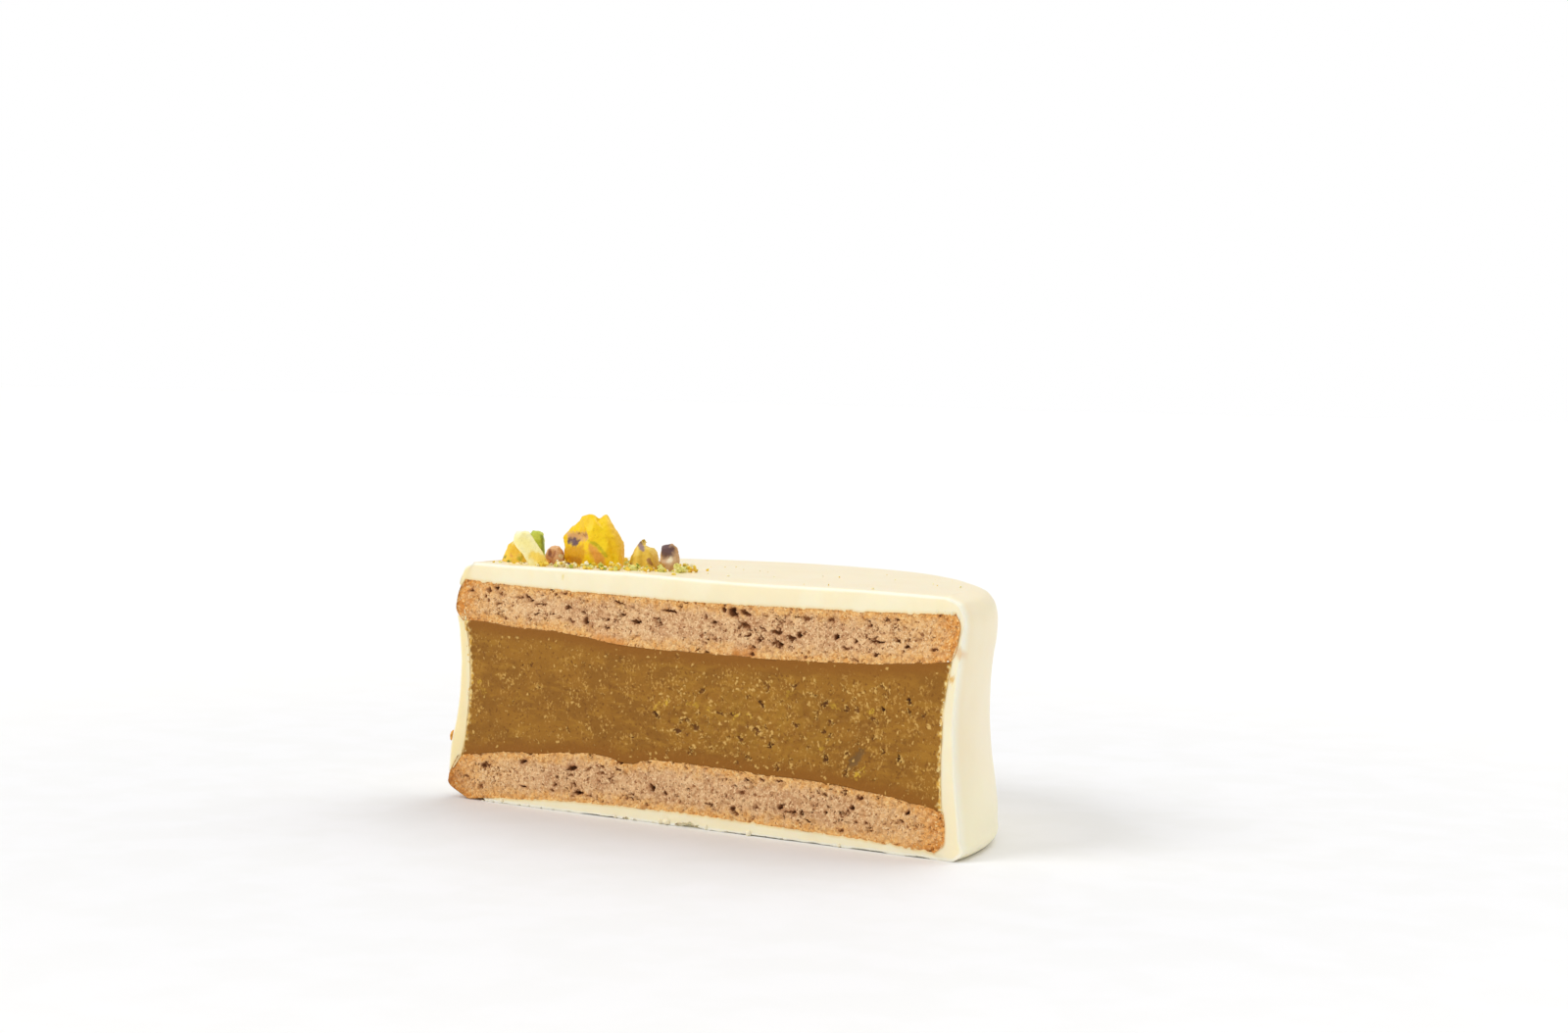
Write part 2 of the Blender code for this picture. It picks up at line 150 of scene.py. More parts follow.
# Pits and pores that stand out, each (x, z, half length, half height, tilt, depth).
TOP_PORES = [
    (-22.2, 24.0, 0.62, 0.13, -0.45, 0.9),
    (-26.9, 24.8, 0.28, 0.26, 0.3, 0.8),
    (-26.4, 24.2, 0.3, 0.2, -0.3, 0.4),
    (-23.6, 23.9, 0.5, 0.15, 0.1, 0.4),
    (-20.6, 23.3, 0.7, 0.1, 0.05, 0.5),
    (-18.4, 24.6, 0.2, 0.16, 0.0, 0.6),
    (-16.7, 23.2, 0.42, 0.14, 0.0, 0.7),
    (-14.1, 21.9, 0.3, 0.26, 0.1, 0.9),
    (-14.6, 22.8, 0.4, 0.1, -0.3, 0.6),
    (-9.6, 24.2, 0.9, 0.1, -0.35, 0.7),
    (-7.3, 22.2, 0.62, 0.17, -0.1, 0.9),
    (-2.8, 23.7, 0.75, 0.15, -0.15, 0.8),
    (-4.6, 22.7, 0.35, 0.12, 0.2, 0.5),
    (2.0, 23.4, 0.2, 0.3, 0.0, 0.5),
    (3.2, 22.8, 0.3, 0.22, 0.2, 0.8),
    (5.5, 24.1, 0.48, 0.4, -0.2, 1.0),
    (4.4, 24.3, 0.28, 0.22, 0.2, 0.8),
    (7.0, 24.1, 0.62, 0.2, -0.2, 0.7),
    (7.1, 22.8, 0.6, 0.25, -0.2, 0.6),
    (9.3, 22.6, 0.45, 0.1, -0.45, 0.9),
    (11.1, 22.2, 0.6, 0.2, 0.0, 0.7),
    (11.5, 22.5, 0.15, 0.25, 0.0, 0.8),
    (12.9, 21.8, 0.5, 0.22, -0.2, 0.7),
    (13.9, 22.2, 0.25, 0.25, 0.0, 0.9),
    (9.0, 21.3, 0.28, 0.18, 0.1, 0.7),
    (11.3, 21.2, 0.5, 0.14, -0.8, 0.8),
    (8.1, 20.5, 0.35, 0.2, -0.6, 0.7),
    (8.0, 19.7, 0.3, 0.16, 0.2, 0.6),
    (18.5, 22.3, 0.3, 0.25, 0.2, 0.9),
    (20.9, 22.0, 0.25, 0.2, 0.0, 0.7),
    (23.6, 22.1, 0.7, 0.13, 0.05, 0.8),
    (17.8, 24.1, 0.3, 0.16, 0.0, 0.5),
    (25.9, 24.5, 0.3, 0.14, 0.0, 0.6),
    (27.1, 21.9, 0.2, 0.2, 0.0, 0.8),
    (23.4, 20.8, 0.32, 0.13, 0.0, 0.7),
]
BOTTOM_PORES = [
    (-22.7, 5.1, 0.4, 0.26, 0.4, 0.8),
    (-15.9, 5.0, 0.6, 0.24, 0.2, 0.8),
    (-22.5, 2.3, 0.45, 0.13, -0.15, 0.8),
    (-14.9, 2.3, 0.55, 0.22, 0.1, 0.9),
    (-18.2, 2.9, 0.3, 0.2, 0.8, 0.7),
    (-4.7, 3.9, 0.22, 0.4, 0.2, 0.9),
    (-3.0, 3.4, 0.26, 0.2, 0.0, 0.8),
    (-28.4, 4.1, 0.3, 0.2, -0.3, 0.7),
    (7.8, 6.1, 0.26, 0.14, 0.0, 0.7),
    (9.5, 6.3, 0.3, 0.15, 0.0, 0.7),
    (11.8, 6.3, 0.3, 0.12, 0.1, 0.7),
    (6.0, 2.7, 0.3, 0.25, 0.3, 0.7),
    (12.0, 3.5, 0.3, 0.2, -0.4, 0.8),
    (13.6, 3.2, 0.35, 0.15, 0.3, 0.7),
    (20.9, 4.3, 0.25, 0.2, 0.0, 0.8),
    (21.9, 5.5, 0.35, 0.22, 0.2, 0.7),
    (27.6, 4.5, 0.2, 0.2, 0.0, 0.8),
]
FILLING_PITS = [
    (-22.8, 16.2, 0.22, 0.15, 0.3, 0.4),
    (-21.8, 16.3, 0.2, 0.15, 0.0, 0.4),
    (-15.7, 16.6, 0.25, 0.14, 0.1, 0.4),
    (-13.5, 16.8, 0.2, 0.14, 0.0, 0.4),
    (-20.6, 13.8, 0.2, 0.13, 0.2, 0.4),
    (-11.7, 13.8, 0.22, 0.16, 0.0, 0.4),
    (-16.4, 9.3, 0.2, 0.15, 0.4, 0.4),
    (-7.5, 9.3, 0.28, 0.2, -0.6, 0.5),
    (-4.4, 12.2, 0.55, 0.28, -0.5, 0.8),
    (-1.4, 10.6, 0.5, 0.28, 0.1, 0.6),
    (0.9, 11.2, 0.55, 0.3, -0.3, 0.5),
    (4.2, 13.0, 0.9, 0.12, 0.0, 0.5),
    (9.3, 14.5, 0.28, 0.5, 0.5, 0.8),
    (10.1, 16.3, 0.3, 0.45, 0.2, 0.4),
    (10.6, 10.0, 0.5, 0.22, 0.4, 0.7),
    (8.9, 11.5, 0.6, 0.35, -0.5, 0.4),
    (7.8, 11.9, 0.35, 0.15, -0.3, 0.5),
    (6.8, 10.4, 0.3, 0.35, 0.0, 0.5),
    (16.0, 16.0, 0.3, 0.14, -0.2, 0.5),
    (17.3, 15.1, 0.6, 0.24, 0.4, 0.6),
    (13.8, 12.6, 0.5, 0.2, -0.1, 0.6),
    (14.7, 11.3, 0.22, 0.15, 0.0, 0.6),
    (18.6, 13.0, 0.16, 0.14, 0.0, 0.6),
    (17.2, 12.2, 0.35, 0.15, 0.1, 0.6),
    (17.6, 9.3, 0.26, 0.55, 0.2, 0.6),
    (20.1, 7.9, 0.4, 0.2, 0.5, 0.5),
    (21.4, 11.1, 0.35, 0.18, 0.3, 0.5),
    (20.1, 14.8, 0.35, 0.2, 0.2, 0.5),
    (24.5, 15.2, 0.3, 0.22, 0.1, 0.8),
    (23.3, 14.1, 0.3, 0.15, 0.1, 0.4),
    (23.5, 12.1, 0.15, 0.18, 0.0, 0.7),
    (24.6, 10.6, 0.16, 0.26, 0.0, 0.6),
    (27.6, 16.2, 0.18, 0.32, 0.1, 0.8),
    (27.6, 15.0, 0.12, 0.25, 0.0, 0.5),
    (26.5, 10.1, 0.2, 0.45, -0.3, 0.9),
    (23.5, 7.6, 0.2, 0.14, 0.0, 0.5),
    (29.3, 14.8, 0.14, 0.2, 0.0, 0.5),
]
# Yellow streaks and spots in the paste, and the one grey smear, in the same form.
YELLOW_STREAKS = [
    (-3.0, 13.6, 0.3, 0.26, 0.3, 1.0),
    (-4.1, 13.1, 1.1, 0.2, 0.4, 0.6),
    (0.4, 13.6, 1.2, 0.26, -0.1, 0.6),
    (2.6, 13.2, 0.6, 0.2, -0.5, 0.8),
    (6.1, 13.0, 0.42, 0.4, 0.0, 0.8),
    (7.9, 13.0, 0.32, 0.3, 0.0, 0.7),
    (12.8, 15.9, 0.7, 0.4, 0.1, 0.4),
    (18.6, 14.9, 0.9, 0.35, -0.5, 0.5),
    (17.8, 11.4, 0.1, 0.3, 0.0, 0.9),
    (21.8, 8.2, 1.5, 0.22, 0.8, 0.8),
    (17.0, 10.2, 0.7, 0.2, 0.2, 0.5),
    (23.0, 14.9, 0.42, 0.3, 0.0, 0.7),
    (-29.2, 13.8, 0.3, 0.7, 0.1, 0.6),
    (-28.4, 12.6, 0.5, 0.25, -0.8, 0.5),
]
GREY_SMEARS = [(21.3, 9.6, 2.0, 0.55, 0.85, 1.0)]
RAGGED_ZONE = (8.0, 12.5, 13.0, 4.0)  # middle x and z, half sizes: where the paste is torn
# Pits and pale nubs drawn at random, first all over the paste and then where it is torn: how many,
# left and right, low and high, half heights, depth by half height, lean.
FILLING_SEED = 5
RANDOM_PITS = (
    (150, -31, 31, 5.5, 19.5, (0.06, 0.16), 1.8, 1.2),
    (190, -3.0, 29.0, 7.5, 17.5, (0.07, 0.24), 1.8, 1.2),
)
RANDOM_NUBS = (
    (1200, -31, 31, 5.5, 19.5, (0.05, 0.15), 0.4, 1.4),
    (600, -4.0, 30.0, 7.5, 17.5, (0.05, 0.17), 0.45, 1.4),
)

# ---- details of the coating -------------------------------------------------------------------
COATING_GRID = (400, 50)
COATING_ROWS = (0.0, 0.004, 0.009, 0.015, 0.024, 0.04, 0.07, 0.12, 0.19, 0.27, 0.36, 0.45, 0.54,
                0.63, 0.72, 0.8, 0.88, 0.95, 1.0)
COATING_EVENNESS = 0.5
NEAR_ROWS = 6  # the rows behind the cut where the coating's inside is rough
INSIDE_KEPT = 0.15  # share of the faces that the coating's hidden inside keeps
EDGE_ROUND = 0.42  # radius of the coating's outer corner at the cut
EDGE_ROUND_BASE = 0.12
BARE_CORNER = ((-33.6, 0.0, 0.4), (5.6, 3.2, 3.0))  # (x, depth, z), half sizes
BARE_EDGE = ((-33.6, 0.0, 23.3), (2.2, 1.1, 2.7))  # where the upper biscuit reaches the surface
# Chips along the lower front edge: x, half width, half height, half depth.
EDGE_CHIPS = (
    (-11.8, 3.0, 0.14, 0.9),
    (-8.2, 0.45, 0.32, 0.5),
    (-6.9, 0.35, 0.26, 0.5),
    (0.4, 1.9, 0.58, 0.9),
    (23.0, 2.2, 0.15, 0.9),
    (29.0, 1.4, 0.15, 0.9),
)
NIBBLES = 36  # small chips between the others, drawn at random
NIBBLE_SEED = 31
NIBBLE_SPAN = (-29.0, 31.5)
NIBBLE_SIZES = ((0.15, 0.5), (0.08, 0.24), (0.2, 0.45))  # half width, half height, half depth
BASE_LIFTS = ((-11.5, 3.2, 0.12), (12.0, 8.0, 0.13), (23.0, 2.4, 0.12), (29.6, 1.6, 0.12))
LIFT_REACH = (0.5, 1.2)  # how far up and how far back the base is lifted
# Broken bits of coating, by the base and along the borders: x, depth, z, radius.
COATING_BITS = (
    (-2.7, 0.0, 0.4, 0.46),
    (-3.5, 0.05, 0.3, 0.3),
    (2.6, 0.05, 0.28, 0.3),
    (8.2, 0.0, 0.3, 0.36),
    (-9.6, 0.1, 0.22, 0.24),
    (19.5, 0.0, 0.25, 0.25),
    (-25.6, 0.1, 0.35, 0.3),
    (30.6, 0.12, 25.8, 0.2),
    (31.5, 0.1, 25.85, 0.14),
    (32.3, 0.12, 25.75, 0.2),
    (33.1, 0.12, 25.2, 0.14),
    (32.7, 0.14, 21.5, 0.14),
    (32.0, 0.12, 20.7, 0.16),
    (31.6, 0.12, 16.5, 0.12),
    (31.3, 0.14, 14.9, 0.1),
    (31.25, 0.12, 14.0, 0.13),
    (31.6, 0.12, 5.3, 0.14),
)
# Marks on the coating: radius, tone, places along the mark.
COATING_MARKS = (
    (0.42, (242, 208, 162), (33.2, -17.0, 21.9), (33.4, -16.6, 21.3)),
    (0.26, (232, 184, 100), (32.2, -17.0, 18.9), (32.7, -17.0, 18.9)),
    (0.24, (240, 224, 150), (-17.4, -17.0, 26.6)),
)

# ---- the crumbs of nut: first those that the solids have, then the finer ones -----------------
GAP = 0.3
NUT_SPOTS = (
    # (x, depth), half sizes across, in depth and up
    ((-28.3, 5.5), (2.0, 1.15, 2.1)),
    ((-23.9, 3.1), (2.9, 0.75, 1.1)),
    ((-27.2, 7.7), (1.25, 0.85, 2.0)),
    ((-22.6, 5.4), (1.15, 0.85, 1.15)),
    ((-17.75, 6.5), (4.0, 2.7, 4.5)),
    ((-11.1, 6.7), (1.85, 1.5, 2.1)),
    ((-7.9, 7.0), (1.2, 1.05, 1.75)),
)
CRUMB_SEED = 11
CRUMBS = 50
CRUMB_TRIES = 2000
CRUMB_RADII = (0.38, 0.85)
CRUMB_STRETCH = (0.75, 1.25)
CRUMB_LIFT = 0.25
PATCH_MIDDLE = (-17.5, 6.6)
PATCH_HALF = (12.8, 5.4)
PATCH_RADIUS_LIMIT = 29.8
NUT_LEAN = 0.6
NUT_ROOM = (1.05, 1.1)
RIM_CRUMB = ((-33.2, 0.25, 7.1), (0.26, 0.35, 0.8))
RIM_SPECK = ((32.95, 2.9, 21.0), (0.1, 0.14, 0.18))
LOOKS_SEED = 23
ROUGH_SHAPES = 4  # shapes of a crumb for the larger ones, and as many plainer ones for the small
CRUMB_BREAKS = 7  # flat broken faces of a crumb
HEAP_GRAINS = 8
DUST_CRUMBS = 420
DUST_RADII = (0.08, 0.24)
STRAY_EVERY = 12  # every so many of the fine crumbs lies somewhere on the top, out of the patch
STRAY_X = (-28, 31)
STRAY_DEPTH = (1.2, 22)
STRAY_KINDS = ("pale", "pale_green", "yellow")
# Crumbs that stand out at the front of the patch: x, depth, radius, kind.
SEEN_CRUMBS = (
    (-22.9, 4.2, 0.52, "orange"),
    (-24.6, 4.0, 0.26, "orange"),
    (-19.4, 4.0, 0.38, "brown"),
    (-18.9, 3.6, 0.28, "brown"),
    (-16.4, 3.9, 0.36, "green"),
    (-15.6, 3.7, 0.3, "pale_green"),
    (-15.0, 4.2, 0.42, "pale_green"),
    (-14.3, 4.8, 0.46, "pale_green"),
    (-13.6, 5.2, 0.4, "yellow"),
    (-13.0, 4.6, 0.3, "pale_green"),
    (-21.2, 5.0, 0.36, "pale"),
    (-20.4, 4.2, 0.3, "pale"),
    (-21.8, 3.6, 0.26, "pale"),
    (-17.6, 3.8, 0.32, "pale_green"),
    (-17.0, 3.4, 0.22, "pale"),
    (-12.2, 4.6, 0.28, "pale"),
    (-10.1, 5.0, 0.32, "pale"),
    (-8.6, 5.0, 0.24, "yellow"),
    (-9.3, 5.0, 0.28, "brown"),
    (-7.6, 5.2, 0.26, "pale"),
    (-6.3, 6.2, 0.3, "pale"),
    (-4.9, 6.4, 0.22, "pale"),
    (-3.6, 5.9, 0.16, "pale"),
)
CRUMB_KINDS = {
    # material slot, light and dark tone
    "yellow": ("nut_yellow", (252, 222, 92), (238, 198, 48)),
    "green": ("nut_green", (182, 184, 56), (146, 152, 34)),
    "pale_green": ("nut_pale", (240, 234, 146), (220, 212, 96)),
    "pale": ("nut_pale", (254, 247, 212), (248, 232, 160)),
    "orange": ("nut_ochre", (248, 190, 88), (230, 156, 52)),
    "brown": ("nut_skin", (188, 148, 122), (118, 90, 88)),
}
KIND_SHARES = (
    ("yellow", 0.28), ("pale", 0.30), ("pale_green", 0.28), ("green", 0.06), ("orange", 0.03),
    ("brown", 0.05),
)


# ---- heights of the layers --------------------------------------------------------------------
def face_height(x, y, face, marks=()):
    """Height of a biscuit's face: domed, with a slow unevenness and steps along the cut."""
    middle, rise, power, (size, length, phase) = face
    spread = np.hypot(x, y - CUT_Y) / FOOT_RADIUS
    wave = size * np.sin(x / length + phase) * np.cos(y / (WAVE_STRETCH * length) - phase)
    fade = np.exp(-(((y - CUT_Y) / STEP_FADE_DEPTH) ** 2))
    dips = sum(rise_ * np.exp(-(((x - at) / half) ** 2)) for at, rise_, half in marks)
    return middle + rise * spread ** power + wave + fade * dips


def coating_top(x, y):
    size, length, phase = COATING_WAVE
    wave = size * np.sin(x / length + phase) * np.cos(y / (WAVE_STRETCH * length) - phase)
    return HEIGHT + LEFT_RISE * ((1 - x / FOOT_RADIUS) / 2) ** 2 + wave


def top_biscuit_top(x, y):
    return face_height(x, y, TOP_BISCUIT_TOP)


def top_biscuit_bottom(x, y):
    return face_height(x, y, TOP_BISCUIT_BOTTOM, TOP_BISCUIT_BOTTOM_STEPS)


def bottom_biscuit_top(x, y):
    return face_height(x, y, BOTTOM_BISCUIT_TOP, BOTTOM_BISCUIT_TOP_STEPS)


def bottom_biscuit_bottom(x, y):
    return face_height(x, y, BOTTOM_BISCUIT_BOTTOM, BOTTOM_BISCUIT_BOTTOM_STEPS)


# ---- modelling helpers ------------------------------------------------------------------------
def deselect():
    bpy.ops.object.select_all(action="DESELECT")


def make_active(obj):
    deselect()
    obj.select_set(True)
    bpy.context.view_layer.objects.active = obj


def read_points(obj):
    """The mesh's points in millimetres, one row each."""
    points = np.zeros(len(obj.data.vertices) * 3)
    obj.data.vertices.foreach_get("co", points)
    return points.reshape(-1, 3) / MM


def write_points(obj, points):
    obj.data.vertices.foreach_set("co", (np.asarray(points) * MM).ravel())
    obj.data.update()


def read_normals(obj):
    normals = np.zeros(len(obj.data.vertices) * 3)
    obj.data.vertices.foreach_get("normal", normals)
    return normals.reshape(-1, 3)


def store(obj, name, values):
    """Keeps a number for each point of the mesh, for its material to read."""
    attribute = obj.data.attributes.new(name, "FLOAT", "POINT")
    attribute.data.foreach_set("value", np.asarray(values, np.float32))


def store_front(obj, front, known, elsewhere=0.0):
    """Keeps numbers that are known at the cut, with one value for the rest of the mesh."""
    for name, values in known.items():
        everywhere = np.full(len(front), elsewhere)
        everywhere[front] = values
        store(obj, name, everywhere)


def select_points(obj, chosen):
    make_active(obj)
    bpy.ops.object.mode_set(mode="EDIT")
    bpy.ops.mesh.select_mode(type="VERT")
    bpy.ops.mesh.select_all(action="DESELECT")
    bpy.ops.object.mode_set(mode="OBJECT")
    obj.data.vertices.foreach_set("select", np.asarray(chosen, bool))
    bpy.ops.object.mode_set(mode="EDIT")


def thin_out(obj, chosen, kept):
    """Leaves a hidden stretch of the mesh only a share of its faces."""
    select_points(obj, chosen)
    bpy.ops.mesh.decimate(ratio=kept)
    bpy.ops.object.mode_set(mode="OBJECT")


def apply_modifier(obj, kind, **settings):
    make_active(obj)
    modifier = obj.modifiers.new(kind.lower(), kind)
    for key, value in settings.items():
        setattr(modifier, key, value)
    bpy.ops.object.modifier_apply(modifier=modifier.name)


def join(pieces, name):
    deselect()
    for piece in pieces:
        piece.select_set(True)
    bpy.context.view_layer.objects.active = pieces[0]
    bpy.ops.object.join()
    obj = bpy.context.object
    obj.name = name
    obj.data.name = name
    return obj


def block(name, columns, levels, rows):
    """A grid that stands at the cut, pushed back row by row. Returns it with its three shares:
    along the cut, up, and back."""
    deselect()
    bpy.ops.mesh.primitive_grid_add(
        x_subdivisions=columns, y_subdivisions=levels, size=MM, rotation=(math.pi / 2, 0, 0)
    )
    obj = bpy.context.object
    obj.name = name
    obj.data.name = name
    bpy.ops.object.transform_apply(location=True, rotation=True, scale=True)
    bpy.ops.object.mode_set(mode="EDIT")
    bpy.ops.mesh.select_all(action="SELECT")
    for _ in range(rows):
        bpy.ops.mesh.extrude_region_move(TRANSFORM_OT_translate={"value": (0, MM / rows, 0)})
    bpy.ops.object.mode_set(mode="OBJECT")
    along, back, up = read_points(obj).T
    steps_back = np.round(back * rows).astype(int)
    return obj, np.clip(along + 0.5, 0, 1), np.clip(up + 0.5, 0, 1), steps_back


def smooth_curve(share, shares, values):
    """A smooth curve through an outline's points."""
    slopes = np.gradient(values, shares)
    k = np.clip(np.searchsorted(shares, share, side="right") - 1, 0, len(shares) - 2)
    width = shares[k + 1] - shares[k]
    t = (share - shares[k]) / width
    leave = (1 + 2 * t) * (1 - t) ** 2 * values[k] + t * (1 - t) ** 2 * width * slopes[k]
    reach = t ** 2 * (3 - 2 * t) * values[k + 1] - t ** 2 * (1 - t) * width * slopes[k + 1]
    return leave + reach


def outline_radius(side, share, angle):
    """Radius of a side at a share of its height, at an angle round from the right end."""
    shares, right, back, left = np.array(side).T
    near_right = np.exp(-((angle / END_BLEND) ** 2))
    near_left = np.exp(-(((math.pi - angle) / END_BLEND) ** 2))
    r, b, l = (smooth_curve(share, shares, radii) for radii in (right, back, left))
    return b + (r - b) * near_right + (l - b) * near_left


def column_angle(along, evenness):
    """Angle of a column: even steps along the cut at 1, even steps round the back at 0."""
    return evenness * np.arccos(2 * along - 1) + (1 - evenness) * math.pi * (1 - along)


def noise_at(x, z, length, place, stretch=1.0, depth=0.0):
    across = (x / (length * stretch)).tolist()
    inward = (place + depth / length + 0.0 * x).tolist()
    upward = (z / length).tolist()
    return np.array([noise.noise(point) for point in zip(across, inward, upward)])


def cells_at(x, z, length, place, stretch=1.0):
    """Distance to the middle of the nearest cell, in cells."""
    across = (x / (length * stretch)).tolist()
    upward = (z / length).tolist()
    return np.array([noise.voronoi((a, place, b))[0][0] for a, b in zip(across, upward)])


def noise_round(points, length, place=0.0):
    """Noise in space, for points all round a piece."""
    return np.array([noise.noise((a, b, c)) for a, b, c in (points / length + place).tolist()])


def smooth_step(low, high, value):
    t = np.clip((value - low) / (high - low), 0, 1)
    return t * t * (3 - 2 * t)


def from_line(points, places):
    """Distance of points from a line that runs through the given places."""
    places = np.array(places, float)
    gaps = [np.linalg.norm(points - places[0], axis=1)]
    for start, end in zip(places[:-1], places[1:]):
        step = end - start
        share = np.clip((points - start) @ step / (step @ step), 0, 1)
        gaps.append(np.linalg.norm(points - start - share[:, None] * step, axis=1))
    return np.min(gaps, axis=0)


def store_patches(obj, points, patches):
    """Keeps a mask for each patch of colour. Patches have ragged edges."""
    ragged = noise_round(points, 0.5, 3.0) + 0.6 * noise_round(points, 0.2, 8.0)
    for k, (radius, _, *places) in enumerate(patches):
        out = from_line(points, places) + min(0.3, 0.5 * radius) * ragged
        store(obj, f"patch_{k}", 1 - smooth_step(0.55 * radius, 1.3 * radius, out))


def break_off(points, faces):
    """Moves what lies beyond all of the given planes back to the nearest of them."""
    beyond = np.stack([points @ np.array(normal) - reach for normal, reach in faces])
    outside = beyond.min(0) > 0
    nearest = np.array([normal for normal, _ in faces], float)[beyond.argmin(0)]
    return points - np.where(outside, beyond.min(0), 0.0)[:, None] * nearest


def pits_at(x, z, pits, place, wander=0.10):
    """Depth of round and long pits at points, and the rims that stand round them."""
    shift = noise_at(x, z, 0.4, place) + 0.8 * noise_at(x, z, 0.17, place + 2.0)
    lift = noise_at(x, z, 0.4, place + 5.0) + 0.8 * noise_at(x, z, 0.17, place + 7.0)
    x, z = x + wander * shift, z + wander * lift
    depth, rim = np.zeros_like(x), np.zeros_like(x)
    for at_x, at_z, long, high, tilt, deep in pits:
        reach = 1.7 * max(long, high)
        near = (np.abs(x - at_x) < reach) & (np.abs(z - at_z) < reach)
        c, s = math.cos(tilt), math.sin(tilt)
        dx, dz = x[near] - at_x, z[near] - at_z
        out = ((c * dx + s * dz) / long) ** 2 + ((c * dz - s * dx) / high) ** 2
        depth[near] = np.maximum(depth[near], deep * np.clip(1 - out, 0, 1) ** 0.7)
        ring = smooth_step(0.75, 1.1, out) * (1 - smooth_step(1.2, 2.8, out))
        rim[near] = np.maximum(rim[near], ring)
    return depth, rim


def random_pits(draw, count, left, right, low, high, sizes, deep, lean=0.35):
    """Pits drawn at random in a band: many small ones and a few large."""
    found = []
    for _ in range(count):
        half = sizes[0] + (sizes[1] - sizes[0]) * draw.random() ** 4
        long = half * draw.uniform(1.0, 2.2)
        tilt = draw.uniform(-lean, lean)
        found.append((draw.uniform(left, right), draw.uniform(low, high), long, half, tilt,
                      deep * half))
    return found


def tidy_mesh(obj):
    """Merges doubles, turns the faces outwards and shades the piece smooth."""
    make_active(obj)
    bpy.ops.object.mode_set(mode="EDIT")
    bpy.ops.mesh.select_all(action="SELECT")
    bpy.ops.mesh.remove_doubles(threshold=0.000001)
    bpy.ops.mesh.normals_make_consistent(inside=False)
    bpy.ops.object.mode_set(mode="OBJECT")
    bpy.ops.object.shade_smooth()


def settle(obj, slot, material, *nodes):
    """The piece takes its material, rides on the body and stands for its nodes."""
    obj.data.materials.clear()
    obj.data.materials.append(material)
    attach(obj, "root")
    if nodes:
        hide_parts(*nodes)


# ---- layers -----------------------------------------------------------------------------------
def shape_layer(name, grid, side, lower, upper, overlap):
    """A half disc whose side follows an outline, with a finely divided face at the cut."""
    obj, along, up, row = block(name, *grid, len(LAYER_ROWS) - 1)
    angle = column_angle(along, LAYER_EVENNESS)
    radius = outline_radius(side, up, angle) + overlap
    x = radius * np.cos(angle)
    room = radius * np.sin(angle)
    y = CUT_Y + room * np.array(LAYER_ROWS)[row]
    low, high = lower(x, y), upper(x, y)
    z = low + up * (high - low)
    right_end = outline_radius(side, up, 0.0 * up) + overlap
    left_end = outline_radius(side, up, 0.0 * up + math.pi) + overlap
    to_face = np.minimum(z - low, high - z)
    to_end = np.minimum(right_end - x, x + left_end)
    return obj, x, y, z, room, row, to_face, to_end


def crumb_openness(x, depth, z, place):
    """How open the crumb is at points, from air cells of three sizes."""
    return sum(
        weight * noise_at(x, z, size, place + 3.1 * k, stretch, depth)
        for k, (size, weight, stretch) in enumerate(AIR_CELLS)
    )


def first_solid(x, z, limit, place):
    """Depth behind the cut at which each point first meets solid crumb."""
    depth = np.zeros_like(x)
    last = crumb_openness(x, 0.0, z, place) - limit
    hollow = np.flatnonzero(last > 0)
    last = last[hollow]
    for step in range(1, CARVE_STEPS + 1):
        here = step * CARVE_STEP
        value = crumb_openness(x[hollow], here, z[hollow], place) - limit[hollow]
        met = value <= 0
        share = last[met] / (last[met] - value[met])
        depth[hollow[met]] = here - CARVE_STEP * (1 - share)
        hollow, last = hollow[~met], value[~met]
    depth[hollow] = CARVE_STEPS * CARVE_STEP
    return depth


def biscuit_relief(x, z, to_edge, place, pits):
    """How far the crumb is torn back behind the cut, its pores, their rims and its grain."""
    inner = smooth_step(0.2, 1.3, to_edge)
    limit = PORE_LIMIT_CRUST + (PORE_LIMIT_CRUMB - PORE_LIMIT_CRUST) * inner
    pores = first_solid(x, z, limit, place)
    hollow, rim = pits_at(x, z, pits, place + 9.2, 0.22)
    pores = np.maximum(pores, 0.8 * hollow)
    grain = cells_at(x, z, 0.42, place, 1.15)
    torn = 0.12 + 0.18 * noise_at(x, z, 2.6, place + 1.3, 1.4) + 0.10 * (grain - MEAN_GRAIN)
    torn = torn + 0.12 * noise_at(x, z, 0.8, place + 6.5)
    torn = torn + 0.08 * noise_at(x, z, 0.25, place + 5.5)
    return np.clip(torn, -0.03, 1.0) + pores, pores, rim, grain


